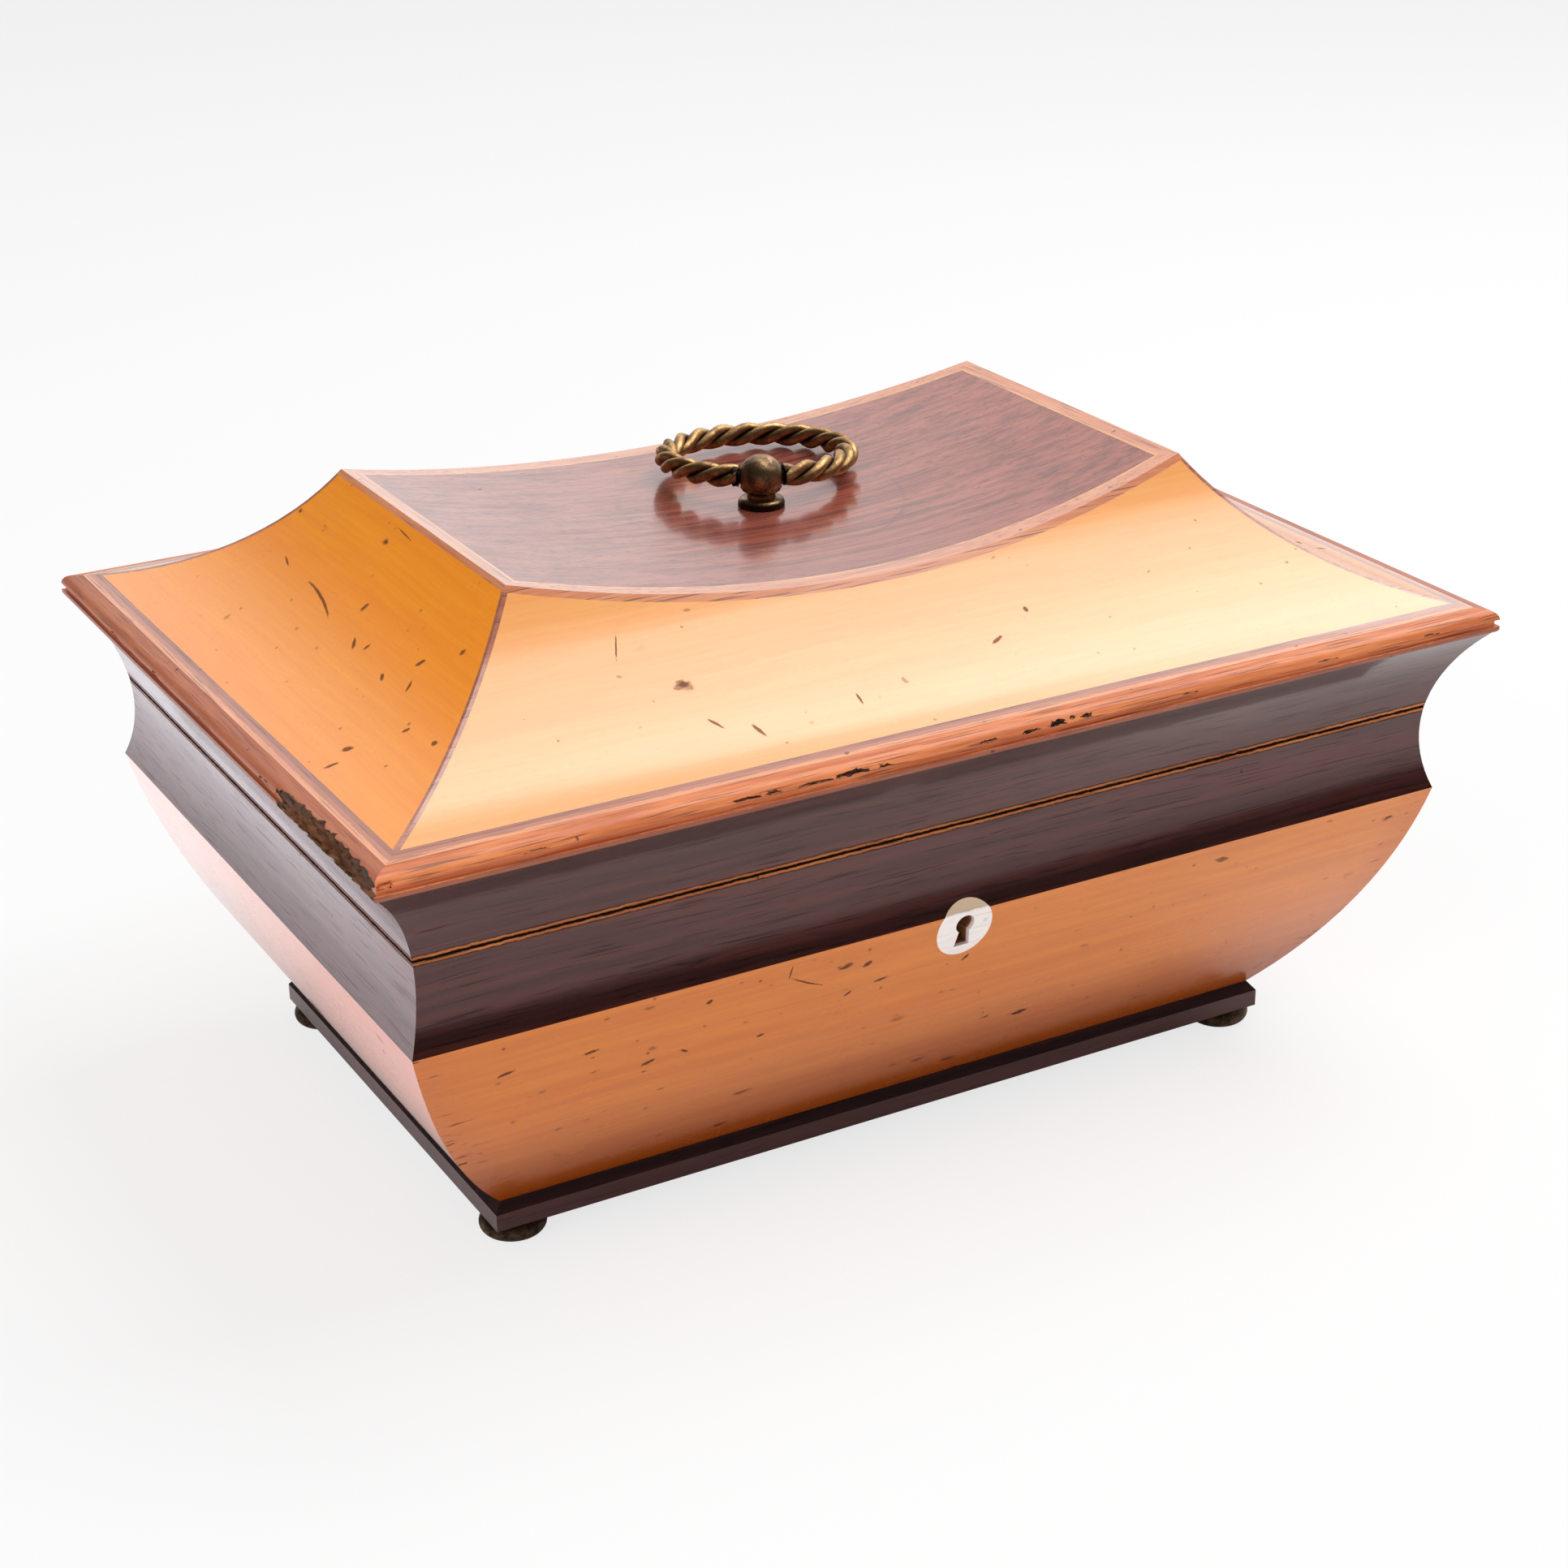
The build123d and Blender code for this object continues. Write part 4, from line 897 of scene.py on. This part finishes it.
# a chip: place along the rim in mm, drop from its top, then its half length, depth and height
rimWear = {
    "quirk": {"low": 118.15 * mm, "high": 119.85 * mm, "depth": 0.95 * mm, "round": 0.25 * mm},
    "front": [
        (-147.5, 2.6, 2.6, 1.5, 1.3), (-113, 2.6, 3.2, 0.9, 0.5), (-78.5, 0.9, 1.5, 0.6, 0.5),
        (-63, 2.3, 3.4, 1.0, 0.5), (-56.6, 2.5, 2.2, 1.2, 0.8), (-46.4, 2.6, 4.4, 1.3, 0.8),
        (-36.7, 2.3, 3.8, 1.5, 1.0), (-28, 2.5, 2.0, 1.1, 0.6), (-0.5, 2.6, 2.8, 1.2, 0.7),
        (3.8, 1.0, 3.4, 0.5, 0.6), (10.5, 2.6, 2.6, 1.3, 0.8), (17.8, 2.3, 2.4, 1.6, 1.0),
        (22, 1.3, 1.3, 0.7, 0.6), (26, 1.8, 1.7, 0.8, 0.6), (55, 2.7, 2.6, 1.0, 0.5),
        (96, 2.7, 3.6, 1.0, 0.5), (128, 2.6, 2.4, 0.9, 0.5)],
    "back": [(-90, 2.6, 4.0, 1.1, 0.7), (12, 2.5, 3.0, 1.2, 0.8), (77, 2.6, 5.0, 1.0, 0.6)],
    "left": [
        (62, 2.6, 3.0, 1.0, 0.6), (31, 2.6, 2.4, 1.0, 0.6), (-4, 2.6, 4.0, 1.0, 0.6),
        (-43, 2.7, 3.4, 1.2, 0.8)],
    "right": [(-60, 2.6, 3.4, 1.1, 0.7), (20, 2.6, 2.6, 1.1, 0.7), (84, 2.5, 3.0, 1.0, 0.6)],
    "tear": {
        "from": -56.0, "to": -104.0, "steps": 11, "drop": 3.1, "depth": 3.8, "height": 3.1, "length": 6.5,
        "jagged": 0.14, "firstSeed": 31},
    "firstSeed": 3,
}


def rimPlace(side, along, drop):
    z = rimTop - drop * mm
    if side in ("front", "back"):
        return Vector((along * mm, -halfDepth if side == "front" else halfDepth, z))
    return Vector((-halfLength if side == "left" else halfLength, along * mm, z))


def makeQuirk(side, spec):
    # the sunk line under the nose: a long bar with its inner edges rounded; the faces it cuts are coloured
    # dark, painted shade on top of the groove's own shade
    lengthwise = side in ("front", "back")
    reach = 2.2 * halfLength
    size = (reach, 2 * spec["depth"], spec["high"] - spec["low"])
    bar = startShape("quirkBar", bpy.ops.mesh.primitive_cube_add, size=1.0)
    bar.scale = size if lengthwise else (size[1], size[0], size[2])
    place = rimPlace(side, 0, 0)
    bar.location = (place.x, place.y, (spec["high"] + spec["low"]) / 2)
    applyPlace(bar)
    useModifier(bar, "BEVEL", width=spec["round"], segments=3, limit_method="ANGLE")
    bar.data.materials.append(finishes["quirkWood"])
    return bar


def makeRimNose(spec):
    sides = copySides("rim_edge", "rimNose")
    for side, piece in sides.items():
        setFinish(piece, "mahogany")
        lengthwise = side in ("front", "back")
        carve(piece, makeQuirk(side, spec["quirk"]))
        for number, (middle, drop, length, depth, height) in enumerate(spec[side]):
            place = rimPlace(side, middle, drop)
            along, across = (length, depth) if lengthwise else (depth, length)
            size = (along * mm, across * mm, height * mm)
            carve(piece, makeCutter(place, size, number + spec["firstSeed"]))
    tear = spec["tear"]
    for step in range(tear["steps"]):
        share = step / (tear["steps"] - 1)
        along = tear["from"] + (tear["to"] - tear["from"]) * share
        deep = tear["depth"] * sin(pi * (0.15 + 0.78 * share)) * mm
        size = (deep, tear["length"] * mm, tear["height"] * mm)
        place = rimPlace("left", along, tear["drop"])
        carve(sides["left"], makeCutter(place, size, step + tear["firstSeed"], tear["jagged"]))
    nose = joinAll(list(sides.values()), "rimNose")
    only(nose)
    bpy.ops.object.shade_smooth_by_angle(angle=radians(30))
    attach(nose, "lid")
    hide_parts("rim_edge")
    return nose


makeGadroons(gadroons)
makeRimNose(rimWear)
print("stage: rim nose carved")

# the tufted silk lining under the lid, inflated between its stitches

silkPad = {
    "sink": 0.35 * mm, "margin": 0.6 * mm, "columns": 84, "rows": 54, "tuftAcross": 40.0 * mm,
    "tuftAlong": 38.0 * mm, "tuftRadius": 1.6 * mm, "tuftReach": 9 * mm, "edgeClear": 10 * mm,
    "edgeReach": 5 * mm, "creaseFill": 0.35, "fill": 1.5 * mm, "pressure": 2.2, "frames": 20}


def tuftSpots(spec, halfX, halfY):
    spots = []
    rows = int(halfY * 2 / spec["tuftAlong"])
    for row in range(-rows, rows + 1):
        shift = (row % 2) * 0.5
        for column in range(-4, 5):
            spot = Vector(((column + shift) * spec["tuftAcross"], row * spec["tuftAlong"] / 2, 0))
            if abs(spot.x) < halfX - spec["edgeClear"] and abs(spot.y) < halfY - spec["edgeClear"]:
                spots.append(spot)
    return spots


def tuftShare(spec, place, tufts, halfX, halfY):
    # how far the silk stands out here: least at the stitches, little along the creases that join them
    first = place.x / spec["tuftAcross"] + place.y / spec["tuftAlong"]
    second = place.x / spec["tuftAcross"] - place.y / spec["tuftAlong"]
    crease = 2 * min(abs(first - round(first)), abs(second - round(second)))
    near = min(Vector((place.x - spot.x, place.y - spot.y)).length for spot in tufts)
    edge = max(0, min(halfX - abs(place.x), halfY - abs(place.y)))
    full = spec["creaseFill"] + (1 - spec["creaseFill"]) * min(1, 1.7 * crease) ** 0.5
    return full * min(1, near / spec["tuftReach"]) ** 0.7 * min(1, edge / spec["edgeReach"]) ** 0.5


def inflate(piece, spec, pinned, thickness):
    # blows the cloth out for a few frames, then holds each point within its reach
    start = [vertex.co.copy() for vertex in piece.data.vertices]
    only(piece)
    cloth = piece.modifiers.new("cloth", "CLOTH")
    cloth.settings.use_pressure = True
    cloth.settings.uniform_pressure_force = spec["pressure"]
    cloth.settings.effector_weights.gravity = 0
    cloth.settings.quality = 6
    if pinned:
        cloth.settings.vertex_group_mass = pinned
    cloth.collision_settings.use_collision = False
    cloth.point_cache.frame_start, cloth.point_cache.frame_end = 1, spec["frames"]
    for number in range(1, spec["frames"] + 1):
        bpy.context.scene.frame_set(number)
    bpy.ops.object.modifier_apply(modifier="cloth")
    bpy.context.scene.frame_set(1)
    for vertex, origin in zip(piece.data.vertices, start):
        moved = vertex.co - origin
        if moved.length > thickness:
            vertex.co = origin + moved.normalized() * thickness


def makeSilkPad(spec):
    low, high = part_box("silk_pad")
    halfX, halfY = high.x - spec["margin"], high.y - spec["margin"]
    base = high.z - spec["sink"]
    pad = startShape(
        "silkPad", bpy.ops.mesh.primitive_grid_add, x_subdivisions=spec["columns"],
        y_subdivisions=spec["rows"], size=2.0)
    pad.scale = (halfX, -halfY, 1)
    pad.location = (0, 0, base)
    applyPlace(pad)
    editAll(pad)
    bpy.ops.mesh.normals_make_consistent(inside=False)
    leaveEdit()
    if pad.data.polygons[0].normal.z > 0:
        pad.data.flip_normals()
    tufts = tuftSpots(spec, halfX, halfY)
    pins = pad.vertex_groups.new(name="pins")
    for vertex in pad.data.vertices:
        flat = Vector((vertex.co.x, vertex.co.y, 0))
        onEdge = abs(flat.x) > halfX - 0.01 * mm or abs(flat.y) > halfY - 0.01 * mm
        if onEdge or min((flat - spot).length for spot in tufts) < spec["tuftRadius"]:
            pins.add([vertex.index], 1.0, "REPLACE")
    inflate(pad, spec, "pins", base - low.z - 0.1 * mm)
    useModifier(pad, "SUBSURF", levels=1, render_levels=1)
    for vertex in pad.data.vertices:
        blown = max(base - vertex.co.z, spec["fill"])
        vertex.co.z = base - min(blown, base - low.z) * tuftShare(spec, vertex.co, tufts, halfX, halfY)
        vertex.co.z = max(min(vertex.co.z, base), low.z + 0.05 * mm)
        vertex.co.x = max(-high.x, min(high.x, vertex.co.x))
        vertex.co.y = max(-high.y, min(high.y, vertex.co.y))
    pick(pad, "EDGE", lambda edge: edge.is_boundary)
    bpy.ops.mesh.extrude_edges_move(TRANSFORM_OT_translate={"value": (0, 0, spec["sink"])})
    bpy.ops.mesh.edge_face_add()
    editAll(pad)
    bpy.ops.mesh.normals_make_consistent(inside=False)
    leaveEdit()
    # the fold attribute is the painted shade mask, strongest at the stitches and along the creases
    fold = pad.data.attributes.new("fold", "FLOAT", "POINT")
    for vertex in pad.data.vertices:
        fold.data[vertex.index].value = 1 - tuftShare(spec, vertex.co, tufts, halfX, halfY)
    finishPiece(pad, "lid", "silk", 60)
    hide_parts("silk_pad")
    return pad


# the velvet pincushion in the tray's middle compartment

cushion = {"inset": 1.3 * mm, "voxel": 2.6 * mm, "pressure": 4.0, "frames": 20, "reach": 3.0 * mm}


def keepInside(piece, low, high):
    for vertex in piece.data.vertices:
        vertex.co = Vector([max(least, min(most, part)) for least, most, part in zip(low, high, vertex.co)])


def makePincushion(spec):
    low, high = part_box("pincushion")
    middle = (low + high) / 2
    piece = copyNode("pincushion", "velvetPincushion")
    mergeDoubles(piece)
    only(piece)
    piece.data.remesh_voxel_size = spec["voxel"]
    bpy.ops.object.voxel_remesh()
    half = (high - low) / 2
    shrink = [1 - spec["inset"] / size for size in half]
    for vertex in piece.data.vertices:
        away = vertex.co - middle
        vertex.co = middle + Vector([part * share for part, share in zip(away, shrink)])
    inflate(piece, spec, None, spec["reach"])
    keepInside(piece, low, high)
    useModifier(piece, "SUBSURF", levels=1, render_levels=1)
    keepInside(piece, low, high)
    finishPiece(piece, "tray", "velvet", 180)
    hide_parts("pincushion")
    return piece


makeSilkPad(silkPad)
makePincushion(cushion)
print("stage: soft pieces made")

# floor, lights and camera

studio = {
    "camera": {
        "azimuth": -29.055, "elevation": 23.85, "distance": 0.78688, "target": (0.005412, 0.0, 0.06819),
        "roll": -0.776, "lens": 68.906, "shiftY": -0.00131},
    "ambient": 0.40, "floorSize": 12, "floorColor": (0.86, 0.86, 0.86, 1), "floorWhite": 0.75,
    "nearShade": 0.09, "sweepGlow": 0.50, "sweepColor": (0.97, 0.92, 1.06, 1),
    "room": {"white": 1.15, "high": 0.95, "dark": 0.06},
    "lamps": [
        {"name": "overheadBox", "place": (0.72, 0.05, 1.35), "aim": (0, 0, 0.1), "size": (1.25, 1.25),
         "power": 19.0},
        {"name": "leftCard", "place": (-1.6, -0.5, 0.7), "aim": (0, 0, 0.1), "size": (1.2, 1.2),
         "power": 14.0, "hidden": True},
        {"name": "frontCard", "place": (-0.2, -1.8, 0.35), "aim": (0, 0, 0.05), "size": (1.4, 0.8),
         "power": 5.0, "hidden": True},
    ],
}


def lightPathFlags():
    path = tree.nodes.new("ShaderNodeLightPath").outputs
    mirror = larger(path["Is Glossy Ray"], path["Is Transmission Ray"])
    return path["Is Camera Ray"], mirror


def makeFloor():
    # mirrored in the box, the floor is darker ahead of it and glows beside it
    floor = startShape(
        "paleFloor", bpy.ops.mesh.primitive_plane_add, size=studio["floorSize"], location=(0, 0, -0.1 * mm))
    editAll(floor)
    bpy.ops.mesh.subdivide(number_cuts=4)
    leaveEdit()
    material = bpy.data.materials.new("paleFloor")
    openTree(material)
    seen, mirror = lightPathFlags()
    place = parts(tree.nodes.new("ShaderNodeTexCoord").outputs["Object"])
    beside = steps(place[0], -0.10, -0.16)
    ahead = times(steps(place[1], -0.02, -0.10), steps(place[0], -0.16, -0.08))
    dimmed = times(times(mirror, ahead), studio["nearShade"])
    floorColor = mixColor(dimmed, studio["floorColor"], (0, 0, 0, 1))
    matt = put("ShaderNodeBsdfDiffuse", {"Color": floorColor})
    white = put("ShaderNodeEmission", {"Color": (1, 1, 1, 1), "Strength": 1.0})
    glow = put("ShaderNodeEmission", {
        "Color": studio["sweepColor"],
        "Strength": times(times(mirror, beside), studio["sweepGlow"])})
    blend = put("ShaderNodeMixShader", {
        0: times(seen, studio["floorWhite"]), 1: matt.outputs[0], 2: white.outputs[0]})
    total = put("ShaderNodeAddShader", {0: blend.outputs[0], 1: glow.outputs[0]})
    put("ShaderNodeOutputMaterial", {0: total.outputs[0]})
    floor.data.materials.append(material)
    return floor


def makeWorld():
    # the room: white behind and to the right, dim on the camera's side and low behind-left
    world = bpy.data.worlds.new("paleStudio")
    bpy.context.scene.world = world
    openTree(world)
    seen, mirror = lightPathFlags()
    toward = parts(tree.nodes.new("ShaderNodeTexCoord").outputs["Generated"])
    behind = steps(toward[1], -0.15, 0.35)
    rightward = steps(toward[0], -0.34, 0.06)
    level = steps(toward[2], 0.24, 0.56, studio["room"]["white"], studio["room"]["high"])
    room = plus(times(times(behind, rightward), level), studio["room"]["dark"])
    mirrored = times(mirror, room)
    notSeen = minus(minus(1.0, seen), mirror, clamp=True)
    strength = plus(plus(seen, mirrored), times(notSeen, studio["ambient"]))
    light = put("ShaderNodeBackground", {"Color": (1, 1, 1, 1), "Strength": strength})
    put("ShaderNodeOutputWorld", {0: light.outputs[0]})


def addLamp(spec):
    data = bpy.data.lights.new(spec["name"], "AREA")
    data.shape = "RECTANGLE"
    data.size, data.size_y = spec["size"]
    data.energy = spec["power"]
    lamp = bpy.data.objects.new(spec["name"], data)
    bpy.context.scene.collection.objects.link(lamp)
    place = Vector(spec["place"])
    turn = (place - Vector(spec["aim"])).to_track_quat("Z", "Y").to_matrix().to_4x4()
    lamp.matrix_world = Matrix.Translation(place) @ turn
    lamp.visible_camera = False
    lamp.visible_glossy = not spec.get("hidden", False)


def addCamera(spec):
    azimuth, elevation = radians(spec["azimuth"]), radians(spec["elevation"])
    back = Vector((sin(azimuth) * cos(elevation), -cos(azimuth) * cos(elevation), sin(elevation)))
    right = Vector((0, 0, 1)).cross(back).normalized()
    up = back.cross(right)
    turn = Matrix((right, up, back)).transposed().to_4x4()
    data = bpy.data.cameras.new("viewCamera")
    data.sensor_width = 36.0
    data.lens = spec["lens"]
    data.shift_y = spec["shiftY"]
    data.clip_start, data.clip_end = 0.02, 30.0
    camera = bpy.data.objects.new("viewCamera", data)
    bpy.context.scene.collection.objects.link(camera)
    place = Vector(spec["target"]) + back * spec["distance"]
    camera.matrix_world = Matrix.Translation(place) @ turn @ Matrix.Rotation(radians(spec["roll"]), 4, "Z")
    bpy.context.scene.camera = camera


makeFloor()
makeWorld()
for lamp in studio["lamps"]:
    addLamp(lamp)
addCamera(studio["camera"])
bpy.context.scene.view_settings.view_transform = "Standard"
print("stage: studio set")
